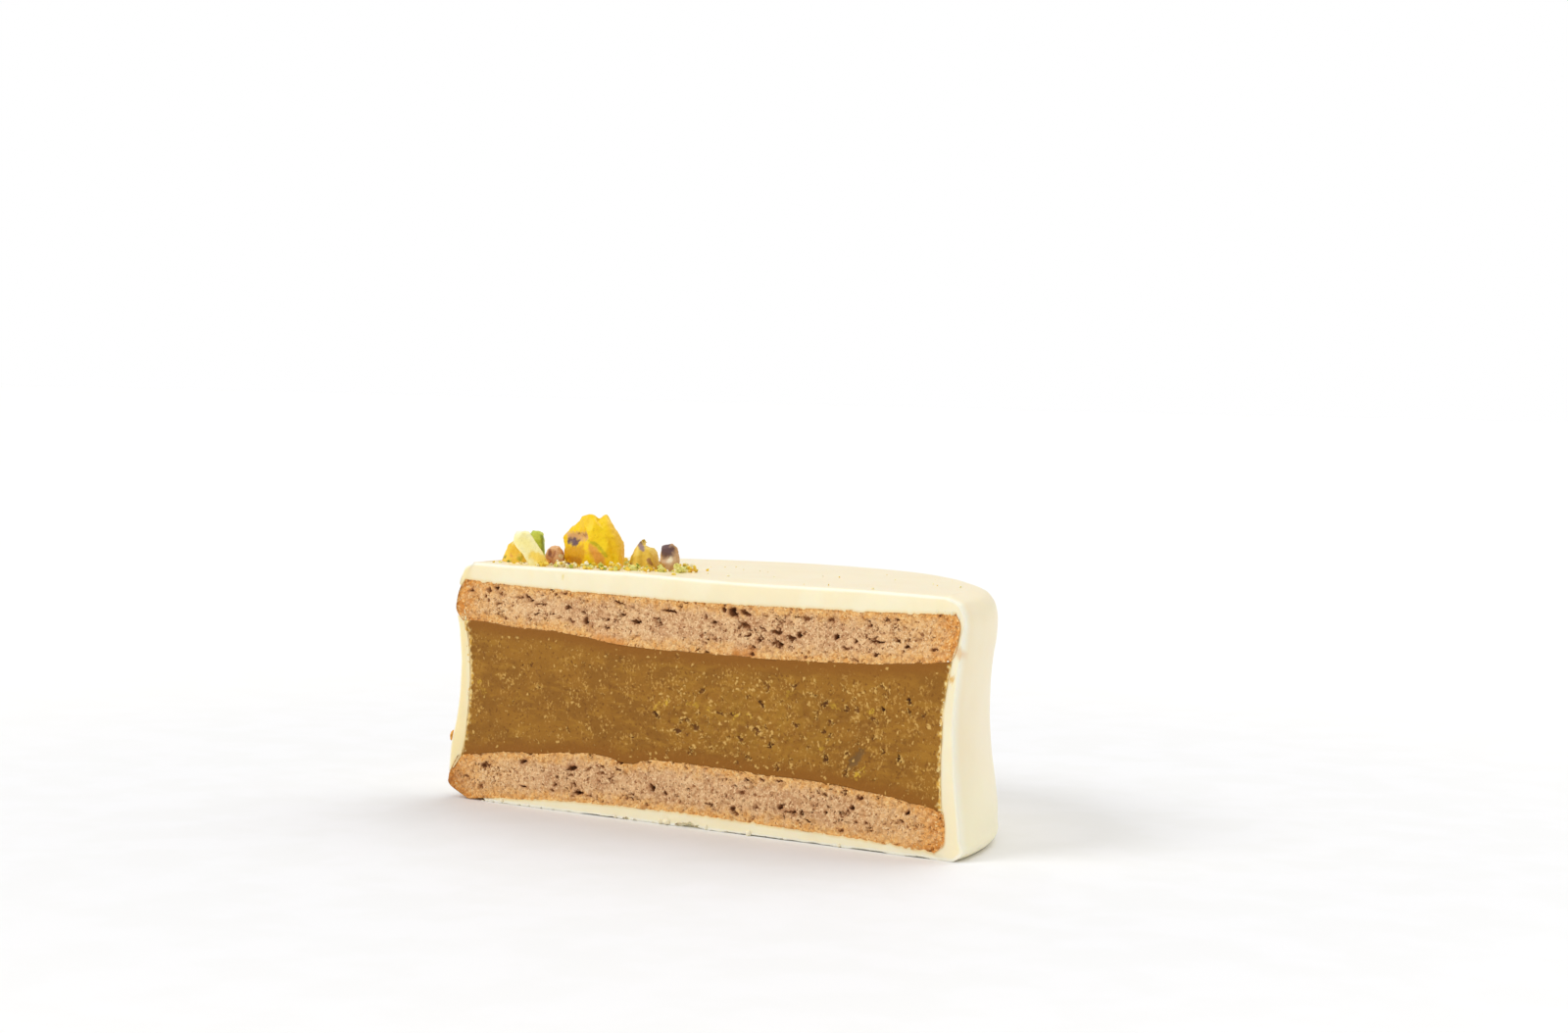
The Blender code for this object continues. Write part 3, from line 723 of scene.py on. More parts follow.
def make_biscuit(name, side, lower, upper, place, pits, band, material, bare_end=-FOOT_RADIUS):
    obj, x, y, z, room, row, to_face, to_end = shape_layer(
        name, BISCUIT_GRID, side, lower, upper, 0.0
    )
    front = row == 0
    to_edge = np.minimum(to_face, END_SHARE * to_end)
    draw = random.Random(int(place * 10))
    scattered = random_pits(
        draw, SMALL_PORES, *CUT_SPAN, *band, SMALL_PORE_SIZES, SMALL_PORE_DEPTH
    )
    wide = [(at, up, PORE_SPREAD * long, PORE_SPREAD * high, tilt, deep)
            for at, up, long, high, tilt, deep in pits]
    torn, pore, rim, grain = biscuit_relief(
        x[front], z[front], to_edge[front], place, scattered + wide
    )
    back = np.zeros_like(x)
    back[front] = np.minimum(torn, 0.5 * room[front])
    points = np.stack([x, y + back, z], 1)
    bare = (~front) & (x < bare_end)
    outward = np.stack([x, y - CUT_Y, 0 * z], 1)[bare]
    outward /= np.linalg.norm(outward, axis=1, keepdims=True) + 1e-9
    lumps = 0.22 * noise_round(points[bare], 0.9) + 0.12 * noise_round(points[bare], 0.35) - 0.12
    points[bare] += outward * (lumps * smooth_step(0.0, 0.6, y[bare] - CUT_Y))[:, None]
    write_points(obj, points)
    store_front(obj, front, {"pore": pore, "rim": rim, "border": to_edge[front],
                             "end": to_end[front]})
    store_front(obj, front, {"grain": grain}, MEAN_GRAIN)
    tip = smooth_step(*[bare_end - beyond for beyond in BROWNED_BEYOND], x)
    store(obj, "browned", tip * smooth_step(*BROWNED_HEIGHTS, z))
    store_patches(obj, points, CRUST_MARKS)
    thin_out(obj, (row == len(LAYER_ROWS) - 1) & (x > BARE_END_X) & (y > CUT_Y + 1), BACK_KEPT)
    tidy_mesh(obj)
    settle(obj, "biscuit", material, name.replace("_baked", ""))
    return obj


def filling_relief(x, z):
    """How far the paste lies behind the cut, with its pits, pale nubs, streaks and smears."""
    draw = random.Random(FILLING_SEED)
    mid_x, mid_z, half_x, half_z = RAGGED_ZONE
    torn = np.exp(-(((x - mid_x) / half_x) ** 4) - ((z - mid_z) / half_z) ** 4)
    pits = [found for band in RANDOM_PITS for found in random_pits(draw, *band)]
    pit, rim = pits_at(x, z, pits + FILLING_PITS, 2.2, 0.36)
    nubs = [found for band in RANDOM_NUBS for found in random_pits(draw, *band)]
    nub, _ = pits_at(x, z, nubs, 4.7, 0.14)
    along = x + 0.12 * z  # the smears of the blade fall a little to the right
    smear = 0.05 * noise_at(along, z, 0.9, 4.4, 5.0) + 0.05 * noise_at(along, z, 2.6, 1.4, 1.6)
    rough = (0.04 + 0.12 * torn) * noise_at(x, z, 0.5, 8.8, 1.3)
    rough = rough + (0.02 + 0.03 * torn) * noise_at(x, z, 0.2, 1.8)
    yellow, _ = pits_at(x, z, YELLOW_STREAKS, 7.2, 0.5)
    grey, _ = pits_at(x, z, GREY_SMEARS, 9.2, 0.35)
    broken = np.clip(0.6 + 1.6 * noise_at(x, z, 0.35, 6.4), 0, 1)  # the rims come and go
    rim = rim * broken
    back = 0.08 + smear + rough + 0.38 * pit - nub - 0.07 * rim - 0.05 * yellow + 0.12 * grey
    pale = np.clip(nub / 0.05 + 1.2 * rim, 0, 1)
    return back, {"pore": pit, "pale": pale, "yellow": yellow, "grey": grey, "torn": torn}


def make_filling(material):
    obj, x, y, z, room, row, to_face, to_end = shape_layer(
        "filling_paste", FILLING_GRID, FILLING_SIDE, bottom_biscuit_top, top_biscuit_bottom, 0.05
    )
    front = row == 0
    middle = (bottom_biscuit_top(x, y) + top_biscuit_bottom(x, y)) / 2
    near_face = smooth_step(1.0, 0.0, to_face)
    spread = np.zeros_like(x)
    spread[front] = 0.06 + 0.22 * np.clip(noise_at(x[front], z[front], 0.7, 3.3), 0, 1)
    z = z + np.sign(z - middle) * spread * near_face
    back, known = filling_relief(x[front], z[front])
    set_back = np.zeros_like(x)
    set_back[front] = np.clip(back, -0.02, 0.5 * room[front])
    write_points(obj, np.stack([x, y + set_back, z], 1))
    store_front(obj, front, {**known, "border": to_face[front], "end": to_end[front]})
    thin_out(obj, (row == len(LAYER_ROWS) - 1) & (y > CUT_Y + 1), BACK_KEPT)
    tidy_mesh(obj)
    settle(obj, "filling", material, "filling")
    return obj


# ---- coating ----------------------------------------------------------------------------------
def inner_radius(x, y, z, angle):
    """Radius of the layers' side at a height, so that the coating lies close on them."""
    parts = (
        (BOTTOM_BISCUIT_SIDE, bottom_biscuit_bottom(x, y), bottom_biscuit_top(x, y)),
        (FILLING_SIDE, bottom_biscuit_top(x, y), top_biscuit_bottom(x, y)),
        (TOP_BISCUIT_SIDE, top_biscuit_bottom(x, y), top_biscuit_top(x, y)),
    )
    radius = np.zeros_like(x)
    for side, low, high in parts:
        share = np.clip((z - low) / (high - low), 0, 1)
        inside = (z >= low - 1e-6) | (side is BOTTOM_BISCUIT_SIDE)
        radius = np.where(inside, outline_radius(side, share, angle), radius)
    return radius


def outer_shape(along, up, row):
    """The coating's outside, with a slow unevenness away from the cut and the base."""
    angle = column_angle(along, COATING_EVENNESS)
    share = up - 0.12 * np.sin(2 * math.pi * up)
    radius = outline_radius(COATING_SIDE, share, angle)
    x = radius * np.cos(angle)
    y = CUT_Y + radius * np.sin(angle) * np.array(COATING_ROWS)[row]
    points = np.stack([x, y, share * coating_top(x, y)], 1)
    wave = 0.16 * noise_round(points, 9.0) + 0.05 * noise_round(points, 3.0, 4.0)
    wave = wave * smooth_step(0.0, 0.12, share) * smooth_step(0.0, 3.0, y - CUT_Y)
    on_top = (row < len(COATING_ROWS) - 1) & (share > 0.99)
    outward = np.stack([np.cos(angle), np.sin(angle), 0 * angle], 1)
    outward[on_top] = (0, 0, 1)
    return points + outward * wave[:, None]


def inner_shape(along, up, row):
    """The coating's inside, close on the layers and rough near the cut."""
    angle = column_angle(along, COATING_EVENNESS)
    radius = np.full_like(along, 32.0)
    uneven = np.zeros_like(along)
    near_cut = row < NEAR_ROWS
    for _ in range(4):
        x = radius * np.cos(angle)
        y = CUT_Y + radius * np.sin(angle) * np.array(COATING_ROWS)[row]
        low, high = bottom_biscuit_bottom(x, y) + uneven, top_biscuit_top(x, y) - uneven
        z = low + up * (high - low)
        points = np.stack([x, 0 * y, z], 1)[near_cut]
        rough = noise_round(points, 0.75) + 0.5 * noise_round(points, 0.28, 3.0)
        uneven[near_cut] = 0.05 + 0.26 * np.clip(rough, 0, 1)
        radius = inner_radius(x, y, z, angle) - 0.05 - 0.7 * uneven
    return np.stack([x, y, z], 1)


def open_front(obj):
    """Takes away the faces that lie in the cut."""
    make_active(obj)
    mesh = obj.data
    bpy.ops.object.mode_set(mode="EDIT")
    bpy.ops.mesh.select_mode(type="FACE")
    bpy.ops.mesh.select_all(action="DESELECT")
    bpy.ops.object.mode_set(mode="OBJECT")
    for polygon in mesh.polygons:
        polygon.select = polygon.center.y < CUT_Y * MM + 1e-7
    bpy.ops.object.mode_set(mode="EDIT")
    bpy.ops.mesh.delete(type="FACE")
    bpy.ops.object.mode_set(mode="OBJECT")


def bridge_shells(outer, inner):
    """Turns the inner shell round, joins the two and closes the coating's section at the cut."""
    make_active(inner)
    bpy.ops.object.mode_set(mode="EDIT")
    bpy.ops.mesh.select_all(action="SELECT")
    bpy.ops.mesh.flip_normals()
    bpy.ops.object.mode_set(mode="OBJECT")
    coating = join([outer, inner], "coating_shell")
    bpy.ops.object.mode_set(mode="EDIT")
    bpy.ops.mesh.select_mode(type="EDGE")
    bpy.ops.mesh.select_all(action="DESELECT")
    bpy.ops.mesh.select_non_manifold()
    bpy.ops.mesh.bridge_edge_loops(number_cuts=8, interpolation="LINEAR")
    bpy.ops.mesh.select_mode(type="VERT")
    bpy.ops.object.mode_set(mode="OBJECT")
    return coating


def distance_inside(points, outline):
    """Distance of points (x, z) from a closed outline, and the way inwards from it."""
    start, end = outline, np.roll(outline, -1, axis=0)
    step = end - start
    share = ((points[:, None] - start) * step).sum(2) / ((step ** 2).sum(1) + 1e-12)
    nearest = start + np.clip(share, 0, 1)[..., None] * step
    gap = np.linalg.norm(points[:, None] - nearest, axis=2)
    best = gap.argmin(1)
    inward = np.stack([-step[:, 1], step[:, 0]], 1)[best]
    return gap.min(1), inward / (np.linalg.norm(inward, axis=1, keepdims=True) + 1e-12)


def cut_outline(shell):
    """The shell's open edge at the cut, as a closed row of (x, z)."""
    points = read_points(shell)
    edge = points[points[:, 1] < CUT_Y + 1e-3][:, (0, 2)]
    return edge[np.arctan2(edge[:, 1] - HEIGHT / 2, edge[:, 0]).argsort()]


def finish_cut_edge(coating, outlines):
    """Rounds the outer corner at the cut, roughens the section and lifts the base in places."""
    points = read_points(coating)
    depth = points[:, 1] - CUT_Y
    front = np.flatnonzero(depth < 2 * EDGE_ROUND)
    u, inward = distance_inside(points[front][:, (0, 2)], outlines[0])
    to_layers, _ = distance_inside(points[front][:, (0, 2)], outlines[1])
    v, z = depth[front], points[front, 2]
    radius = EDGE_ROUND_BASE + (EDGE_ROUND - EDGE_ROUND_BASE) * smooth_step(0.2, 2.0, z)
    radius = np.minimum(radius, 0.55 * (u + to_layers) + 0.02)
    corner = (u < radius) & (v < radius)
    bend = math.pi / 4 * (1 + np.where(v < 1e-3, u, -v) / radius)
    shift_in = radius - radius * np.cos(bend) - u
    shift_back = radius - radius * np.sin(bend) - v
    shift_in[~corner] = 0
    shift_back[~corner] = 0
    points[front, 0] += inward[:, 0] * shift_in
    points[front, 2] += inward[:, 1] * shift_in
    points[front, 1] += shift_back
    x, y, z = points[front].T
    relief = 0.05 + 0.10 * noise_at(x, z, 2.8, 0.3) + 0.03 * noise_at(x, z, 0.7, 5.3)
    relief = np.clip(relief, 0.0, 0.3) * (1 - smooth_step(0.0, 0.8, y - CUT_Y))
    points[front, 1] += relief
    lift_up, lift_back = LIFT_REACH
    low = (z < lift_up) & (points[front, 1] - CUT_Y < lift_back)
    for at, half, height in BASE_LIFTS:
        near = smooth_step(1.0, 0.7, np.abs(x - at) / half) * (0.7 + noise_at(x, z, 1.2, 9.9))
        points[front[low], 2] += (height * near * (1 - z / lift_up))[low]
    write_points(coating, points)


def store_section(coating, outlines):
    """Keeps where the coating turns its corner (painted as a highlight), where it is thin and where
    it meets the layers.
    """
    points = read_points(coating)
    depth = points[:, 1] - CUT_Y
    front = np.flatnonzero(depth < 1.5)
    flat = points[front][:, (0, 2)]
    to_rim, to_layers = (distance_inside(flat, outline)[0] for outline in outlines)
    corner, thin, border = (np.zeros_like(depth) for _ in range(3))
    fade = 1 - smooth_step(0.3, 1.4, depth[front])
    corner[front] = 1 - smooth_step(0.16, 0.5, np.hypot(to_rim, depth[front]))
    thin[front] = fade * (1 - smooth_step(0.4, 0.65, to_rim + to_layers)) * (flat[:, 0] < 0)
    thin[front] *= smooth_step(20.0, 22.0, flat[:, 1])
    border[front] = fade * (1 - smooth_step(0.0, 0.5, to_layers))
    store(coating, "corner", corner)
    store(coating, "thin", thin)
    store(coating, "border", border)
    store_patches(coating, points, COATING_MARKS)


def add_lump(place, half, turn=(0.0, 0.0, 0.0), fineness=3, uneven=0.0, bumps=1.0, seed=0.0):
    """An uneven ball: its middle is at (x, depth, z)."""
    deselect()
    x, depth, z = place
    bpy.ops.mesh.primitive_ico_sphere_add(
        subdivisions=fineness, radius=MM, location=(x * MM, (CUT_Y + depth) * MM, z * MM),
        rotation=[math.radians(angle) for angle in turn], scale=half,
    )
    obj = bpy.context.object
    points = read_points(obj)
    push = 1 + uneven * noise_round(points, 1 / bumps, seed)
    push = push + 0.5 * uneven * noise_round(points, 0.4 / bumps, seed + 5.0)
    write_points(obj, points * push[:, None])
    bpy.ops.object.transform_apply(location=True, rotation=True, scale=True)
    return obj


def cut_lumps(coating, lumps):
    """Breaks uneven lumps out of the coating."""
    cutter = join(lumps, "broken_out")
    apply_modifier(coating, "BOOLEAN", object=cutter, operation="DIFFERENCE", solver="MANIFOLD")
    bpy.data.objects.remove(cutter)


def make_coating(material):
    shells = []
    for name, shape in (("coating_shell", outer_shape), ("coating_inside", inner_shape)):
        obj, along, up, row = block(name, *COATING_GRID, len(COATING_ROWS) - 1)
        write_points(obj, shape(along, up, row))
        tidy_mesh(obj)
        open_front(obj)
        shells.append(obj)
    inner = shells[1]
    thin_out(inner, read_points(inner)[:, 1] > CUT_Y + 5, INSIDE_KEPT)
    outlines = cut_outline(shells[0]), cut_outline(inner)[::2]
    coating = bridge_shells(*shells)
    finish_cut_edge(coating, outlines)
    tidy_mesh(coating)
    draw = random.Random(NIBBLE_SEED)
    chips = list(EDGE_CHIPS)
    left, right = NIBBLE_SPAN
    for k in range(NIBBLES):
        x = left + (right - left) * (k + draw.uniform(0.3, 0.7)) / NIBBLES
        wide, high, deep = (draw.uniform(*sizes) for sizes in NIBBLE_SIZES)
        if all(abs(x - other[0]) > wide + other[1] + 0.3 for other in EDGE_CHIPS):
            chips.append((x, wide, high, deep))
    lumps = [add_lump(*bare, fineness=5, uneven=0.22, bumps=2.2, seed=3.0)
             for bare in (BARE_CORNER, BARE_EDGE)]
    for k, (x, wide, high, deep) in enumerate(chips):
        lumps.append(add_lump((x, 0.0, 0.0), (wide, deep, high), fineness=4, uneven=0.5,
                              bumps=2.5, seed=7.0 + k))
    cut_lumps(coating, lumps)
    points = read_points(coating)
    points[:, 2] = np.maximum(points[:, 2], 0.0)
    write_points(coating, points)
    store_section(coating, outlines)
    make_active(coating)
    bpy.ops.object.shade_smooth_by_angle(angle=math.radians(45))
    settle(coating, "coating", material, "coating")
    bits = [
        add_lump((x, depth, z), (radius, 0.7 * radius, 0.75 * radius), (20 * k, 30 * k, 50 * k),
                 3, 0.45, 1.6, 11.0 * k)
        for k, (x, depth, z, radius) in enumerate(COATING_BITS)
    ]
    broken = join(bits, "coating_bits")
    points = read_points(broken)
    points[:, 2] = np.maximum(points[:, 2], 0.01)
    write_points(broken, points)
    tidy_mesh(broken)
    settle(broken, "coating", material)
    return coating


# ---- materials --------------------------------------------------------------------------------
def tone(red, green, blue):
    """A colour given by its three screen values from 0 to 255."""
    values = [v / 255 for v in (red, green, blue)]
    return (*[v / 12.92 if v < 0.04045 else ((v + 0.055) / 1.055) ** 2.4 for v in values], 1.0)


def new_material(name, roughness, specular=0.4):
    material = bpy.data.materials.new(name)
    material.use_nodes = True
    shader = material.node_tree.nodes["Principled BSDF"]
    shader.inputs["Roughness"].default_value = roughness
    shader.inputs["Specular IOR Level"].default_value = specular
    return material, material.node_tree, shader


def set_input(tree, socket, value):
    """Links a socket to another, or gives it a value."""
    if isinstance(value, bpy.types.NodeSocket):
        tree.links.new(value, socket)
    else:
        socket.default_value = value


def put(tree, kind, settings=(), **inputs):
    """Adds a node, with its settings and its inputs: a value, or a socket to link."""
    node = tree.nodes.new(kind)
    for key, value in dict(settings).items():
        setattr(node, key, value)
    for key, value in inputs.items():
        set_input(tree, node.inputs[key.replace("_", " ")], value)
    return node


def mottle_group():
    """A shared effect: soft blotches of a size, as a mask between two thresholds."""
    group = bpy.data.node_groups.new("blotches", "ShaderNodeTree")
    face = group.interface
    usual = {"Size": 1.0, "Stretch": 1.0, "Place": 0.0, "Low": 0.4, "High": 0.6}
    for name, value in usual.items():
        socket = face.new_socket(name=name, in_out="INPUT", socket_type="NodeSocketFloat")
        socket.default_value = value
    face.new_socket(name="Mask", in_out="OUTPUT", socket_type="NodeSocketFloat")
    inside = group.nodes.new("NodeGroupInput")
    outside = group.nodes.new("NodeGroupOutput")
    place = put(group, "ShaderNodeTexCoord")
    squeeze = put(group, "ShaderNodeCombineXYZ", X=1.0, Y=1.0, Z=inside.outputs["Stretch"])
    spread = put(group, "ShaderNodeVectorMath", {"operation": "MULTIPLY"})
    group.links.new(place.outputs["Object"], spread.inputs[0])
    group.links.new(squeeze.outputs[0], spread.inputs[1])
    per_metre = put(group, "ShaderNodeMath", {"operation": "DIVIDE"})
    per_metre.inputs[0].default_value = 1 / MM
    group.links.new(inside.outputs["Size"], per_metre.inputs[1])
    cloud = put(
        group, "ShaderNodeTexNoise", {"noise_dimensions": "4D"}, Vector=spread.outputs[0],
        W=inside.outputs["Place"], Scale=per_metre.outputs[0], Detail=3.0,
    )
    edge = put(
        group, "ShaderNodeMapRange", {"interpolation_type": "SMOOTHSTEP"},
        Value=cloud.outputs["Fac"], From_Min=inside.outputs["Low"], From_Max=inside.outputs["High"],
    )
    group.links.new(edge.outputs[0], outside.inputs["Mask"])
    return group


BLOTCHES = mottle_group()


def blotches(tree, size, low, high, place=0.0, stretch=1.0):
    node = put(tree, "ShaderNodeGroup", {"node_tree": BLOTCHES}, Size=size, Stretch=stretch,
               Place=place, Low=low, High=high)
    return node.outputs["Mask"]


def mix(tree, mask, first, second):
    """The first colour where the mask is 0, the second where it is 1."""
    node = tree.nodes.new("ShaderNodeMix")
    node.data_type = "RGBA"
    for number, value in ((0, mask), (6, first), (7, second)):
        set_input(tree, node.inputs[number], value)
    return node.outputs[2]


def ramp(tree, value, low, high):
    """A mask that goes from 0 at the low value to 1 at the high one."""
    edge = put(tree, "ShaderNodeMapRange", {"interpolation_type": "SMOOTHSTEP"},
               Value=value, From_Min=low, From_Max=high)
    return edge.outputs[0]


def kept(tree, name):
    return put(tree, "ShaderNodeAttribute", {"attribute_name": name}).outputs["Fac"]


def stored(tree, name, low, high):
    """A number kept on the mesh, as a mask between two values."""
    return ramp(tree, kept(tree, name), low, high)


def calculate(tree, operation, first, second=0.5, third=0.0):
    node = put(tree, "ShaderNodeMath", {"operation": operation})
    for socket, value in zip(node.inputs, (first, second, third)):
        set_input(tree, socket, value)
    return node.outputs[0]


def times(tree, first, second):
    return calculate(tree, "MULTIPLY", first, second)


def mottled(tree, blotch, first, second):
    """Two tones in soft blotches."""
    return mix(tree, blotches(tree, *blotch), tone(*first), tone(*second))


def spotted(tree, colour, *spots):
    """A colour with soft spots on it: size, low, high, place and tone of each kind of spot."""
    for *blotch, spot in spots:
        colour = mix(tree, blotches(tree, *blotch), colour, tone(*spot))
    return colour


def shaded(tree, colour, *shades):
    """A colour changed by what the mesh keeps: name, low, high and tone of each shade."""
    for name, low, high, shade in shades:
        colour = mix(tree, stored(tree, name, low, high), colour, tone(*shade))
    return colour


def patched(tree, colour, tones, strength=1.0):
    """A colour with the patches that the mesh keeps, in their tones."""
    for k, patch in enumerate(tones):
        colour = mix(tree, times(tree, kept(tree, f"patch_{k}"), strength), colour, tone(*patch))
    return colour


def dress(tree, shader, colour, size, place, height, strength):
    """Gives the surface its colour and a fine unevenness of a size."""
    tree.links.new(colour, shader.inputs["Base Color"])
    uneven = blotches(tree, size, 0.2, 0.8, place)
    node = put(tree, "ShaderNodeBump", Height=uneven, Distance=height, Strength=strength)
    tree.links.new(node.outputs[0], shader.inputs["Normal"])


def biscuit_material():
    material, tree, shader = new_material("biscuit", 0.8, 0.2)
    crumb = mottled(tree, (2.4, 0.40, 0.62, 1.0), (232, 186, 136), (210, 160, 114))
    golden = times(tree, stored(tree, "end", 14.0, 3.0), 0.7)
    crumb = mix(tree, golden, crumb, tone(242, 190, 122))
    clumps = times(tree, blotches(tree, 0.8, 0.50, 0.62, 14.0), 0.6)
    crumb = mix(tree, clumps, crumb, tone(244, 204, 152))
    crumb = spotted(
        tree, crumb,
        # the first, pale specks are painted highlights: small glints on the crumb; the darker ones
        # are its own
        (0.22, 0.50, 0.62, 2.0, (248, 212, 162)),
        (0.22, 0.56, 0.68, 3.0, (174, 118, 70)),
        (0.36, 0.59, 0.66, 12.0, (146, 94, 56)),
    )
    crust = mottled(tree, (0.6, 0.42, 0.62, 4.0), (244, 190, 118), (230, 166, 90))
    ends = mottled(tree, (0.5, 0.40, 0.60, 8.0), (242, 174, 92), (214, 138, 60))
    crust = mix(tree, stored(tree, "end", 6.0, 0.5), crust, ends)
    crust = spotted(
        tree, crust,
        (0.22, 0.52, 0.66, 5.0, (253, 216, 152)),
        (0.22, 0.56, 0.68, 10.0, (192, 124, 56)),
        (0.36, 0.61, 0.68, 13.0, (162, 96, 42)),
    )
    crust = patched(tree, crust, [mark[1] for mark in CRUST_MARKS], 0.7)
    uneven = calculate(tree, "MULTIPLY_ADD", blotches(tree, 1.0, 0.3, 0.7, 6.0), 1.0,
                       kept(tree, "border"))
    colour = mix(tree, ramp(tree, uneven, 0.55, 2.3), crust, crumb)
    patchy = calculate(tree, "MULTIPLY_ADD", blotches(tree, 0.8, 0.40, 0.60, 9.0), 0.5, 0.3)
    browned = times(tree, kept(tree, "browned"), patchy)
    colour = mix(tree, browned, colour, tone(160, 90, 32))
    # Painted shade: the crumb is darker in the crevices between its grains.
    gaps = times(tree, stored(tree, "grain", 0.5, 0.9), 0.55)
    colour = mix(tree, gaps, colour, tone(176, 122, 74))
    colour = shaded(
        tree, colour,
        # painted shade: a soft darker halo round the pores
        ("rim", 0.1, 1.9, (190, 132, 92)),
        # darker the deeper the pore: partly the crumb's deeper colour, partly painted shade
        ("pore", 0.04, 0.32, (146, 94, 54)),
        ("pore", 0.3, 0.7, (84, 48, 22)),
    )
    dress(tree, shader, colour, 0.15, 7.0, 0.00006, 0.7)
    return material


def filling_material():
    material, tree, shader = new_material("filling", 0.55, 0.22)
    paste = mottled(tree, (4.5, 0.40, 0.60, 1.0, 1.8), (158, 107, 30), (144, 95, 24))
    smears = times(tree, blotches(tree, 2.2, 0.50, 0.64, 11.0, 3.0), 0.6)
    paste = mix(tree, smears, paste, tone(172, 122, 38))
    paste = spotted(tree, paste, (0.35, 0.56, 0.68, 9.0, (130, 82, 18)))
    flecks = times(tree, blotches(tree, 0.26, 0.52, 0.64, 3.0, 0.8),
                   blotches(tree, 1.7, 0.46, 0.60, 7.0))
    paste = mix(tree, times(tree, flecks, 0.8), paste, tone(200, 152, 74))
    loose = times(tree, stored(tree, "torn", 0.2, 1.2), blotches(tree, 0.9, 0.4, 0.6, 6.0))
    paste = mix(tree, times(tree, loose, 0.5), paste, tone(178, 130, 42))
    paste = shaded(
        tree, paste,
        # painted shade: the paste is darker close to the biscuits, where they shade it
        ("border", 2.0, 0.3, (146, 92, 22)),
        ("grey", 0.0, 1.0, (122, 88, 44)),
        ("yellow", 0.05, 0.9, (214, 172, 54)),
        ("pale", 0.1, 1.0, (214, 170, 92)),
    )
    ragged = calculate(tree, "MULTIPLY_ADD", blotches(tree, 0.7, 0.35, 0.65, 5.0), 0.5,
                       kept(tree, "end"))
    edge = mottled(tree, (0.4, 0.4, 0.6, 5.0), (224, 172, 72), (250, 222, 150))
    paste = mix(tree, ramp(tree, ragged, 0.75, 0.2), paste, edge)
    # Darker the deeper a pit goes: partly the paste's own darker colour, partly painted shade in
    # the pits.
    paste = shaded(
        tree, paste,
        ("pore", 0.02, 0.36, (122, 76, 22)),
        ("pore", 0.32, 0.7, (82, 48, 14)),
    )
    dress(tree, shader, paste, 0.25, 4.0, 0.00004, 0.6)
    return material


def coating_material():
    material, tree, shader = new_material("coating", 0.36, 0.45)
    shader.inputs["Subsurface Weight"].default_value = 0.25
    shader.inputs["Subsurface Radius"].default_value = (1.0, 0.75, 0.4)
    shader.inputs["Subsurface Scale"].default_value = 0.0012
    place = put(tree, "ShaderNodeTexCoord")
    parts = put(tree, "ShaderNodeSeparateXYZ", Vector=place.outputs["Object"])
    rim = mottled(tree, (7.0, 0.36, 0.66, 1.0), (253, 237, 202), (252, 234, 196))
    # Painted light: the side is painted paler towards its base, for the light that falls on it
    # there.
    rim = mix(tree, ramp(tree, parts.outputs["Z"], 0.013, 0.001), rim, tone(255, 244, 208))
    section = mottled(tree, (5.0, 0.4, 0.62, 3.0), (255, 242, 207), (254, 238, 199))
    left = times(tree, ramp(tree, parts.outputs["X"], -0.0300, -0.0316), 0.6)
    section = mix(tree, left, section, tone(252, 226, 160))
    section = shaded(tree, section, ("border", 0.2, 1.3, (250, 218, 150)))
    at_cut = ramp(tree, parts.outputs["Y"], CUT_Y * MM + 0.0007, CUT_Y * MM + 0.0002)
    ivory = mix(tree, at_cut, rim, section)
    # Painted highlight: the rounded corner at the cut is painted near white, like a glint along the
    # edge.
    edge = times(tree, stored(tree, "corner", 0.1, 1.0), 0.7)
    ivory = mix(tree, edge, ivory, tone(255, 251, 234))
    ivory = shaded(tree, ivory, ("thin", 0.0, 0.9, (246, 190, 116)))
    ivory = patched(tree, ivory, [mark[1] for mark in COATING_MARKS])
    dress(tree, shader, ivory, 1.8, 2.0, 0.00004, 0.5)
    return material


